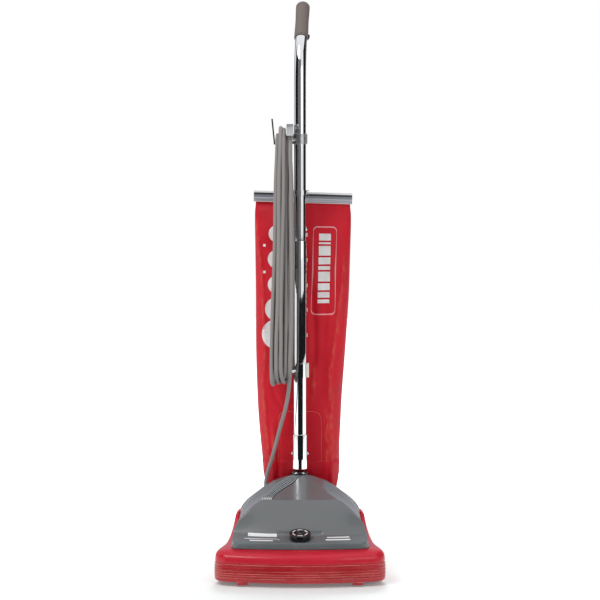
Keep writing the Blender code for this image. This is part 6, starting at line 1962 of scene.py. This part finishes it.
def flag(name, first, last, low, high, reach, cloth):
    """An upright flag bent round the machine, which only mirrors can see.

    It runs between two bearings, in degrees from the front and positive to +X, at a
    reach from the machine's middle.
    """
    bearing = np.radians(np.linspace(first, last, 24))
    points = np.stack([np.stack([reach * np.sin(bearing), -reach * np.cos(bearing),
                                 np.full(24, z)], -1) for z in (low, high)])
    inward = (-math.sin(math.radians((first + last) / 2)),
              math.cos(math.radians((first + last) / 2)), 0)
    piece = surface(name, points, cloth, out=inward)
    only_mirrors(piece)
    return piece


def lamp(name, place, aim, size, power):
    """A square area lamp at a place, aimed at a point."""
    data = bpy.data.lights.new(name, "AREA")
    data.shape = "RECTANGLE"
    data.size = size[0]
    data.size_y = size[1]
    data.energy = power
    made = placed(name, data)
    made.location = place
    made.rotation_euler = (Vector(aim) - Vector(place)).to_track_quat("-Z", "Y").to_euler()
    return made


class VAC_OT_stage(bpy.types.Operator):
    """Sets the camera, the floor, the lamps and the room."""
    bl_idname = "vacuum.stage"
    bl_label = "Stage"

    def execute(self, context):
        data = bpy.data.cameras.new("camera")
        data.lens = LENS
        data.sensor_width = 36.0
        camera = placed("camera", data)
        camera.location = CAMERA_PLACE
        camera.rotation_euler = Euler((math.pi / 2 - CAMERA_DIP, 0.0, 0.0))
        context.scene.camera = camera
        white_world(look().daylight)
        card("floor", (-6, -6, 0), (12, 0, 0), (0, 12, 0), white_floor())
        cloths = {"dark": flag_cloth(),
                  "grey": glowing_cloth("grey_cloth", (0.150, 0.148, 0.140)),
                  "pale": glowing_cloth("pale_cloth", (0.38, 0.38, 0.43))}
        for name, first, last, low, high, cloth in FLAGS:
            flag(name, first, last, low, high, FLAG_REACH, cloths[cloth])
        flag("flag_foot", -26, 30, 0.001, 0.16, 0.78, cloths["dark"])
        for name, near, far, wide, cloth in (("rug_front", -0.262, -1.012, 0.50, "dark"),
                                             ("rug_back", 1.45, 0.24, 0.70, "pale")):
            rug = card(name, (-wide, far, 0.0012), (2 * wide, 0, 0), (0, near - far, 0),
                       cloths[cloth])
            only_mirrors(rug)
        lamp("key_lamp", (-1.4, -1.4, 2.8), (0, 0, 0.4), (1.2, 1.2), 34)
        back = lamp("back_lamp", (0.15, 1.9, 2.1), (0, 0, 0.2), (1.4, 0.9), 44)
        back.visible_glossy = False
        lamp("fill_lamp", (1.6, -2.6, 1.7), (0, 0, 0.5), (1.2, 1.6), 12)
        context.scene.view_settings.view_transform = "Standard"
        return {"FINISHED"}


# ---- Panel and registration ----------------------------------------------------------
STEPS = (VAC_OT_works, VAC_OT_stage, VAC_OT_cord, VAC_OT_tubes, VAC_OT_grip, VAC_OT_fork,
         VAC_OT_brackets, VAC_OT_bag, VAC_OT_clip, VAC_OT_base, VAC_OT_hood, VAC_OT_knob)


class VAC_PT_panel(bpy.types.Panel):
    """Lists the settings and every step of the dressing."""
    bl_label = "Vacuum Dressing"
    bl_idname = "VAC_PT_panel"
    bl_space_type = "VIEW_3D"
    bl_region_type = "UI"
    bl_category = "Vacuum"

    def draw(self, context):
        column = self.layout.column(align=True)
        for key in VacuumLook.__annotations__:
            column.prop(context.scene.vacuum_look, key)
        for step in STEPS:
            column.operator(step.bl_idname)


CLASSES = (VacuumLook, *STEPS, VAC_PT_panel)


def register():
    """Adds the classes and the scene's settings."""
    for kind in CLASSES:
        bpy.utils.register_class(kind)
    bpy.types.Scene.vacuum_look = PointerProperty(type=VacuumLook)


def unregister():
    """Takes the settings and the classes away again."""
    del bpy.types.Scene.vacuum_look
    for kind in reversed(CLASSES):
        bpy.utils.unregister_class(kind)


def main():
    """Registers the add-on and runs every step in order."""
    register()
    for step in STEPS:
        group_name, step_name = step.bl_idname.split(".")
        getattr(getattr(bpy.ops, group_name), step_name)()


if __name__ == "__main__":
    main()
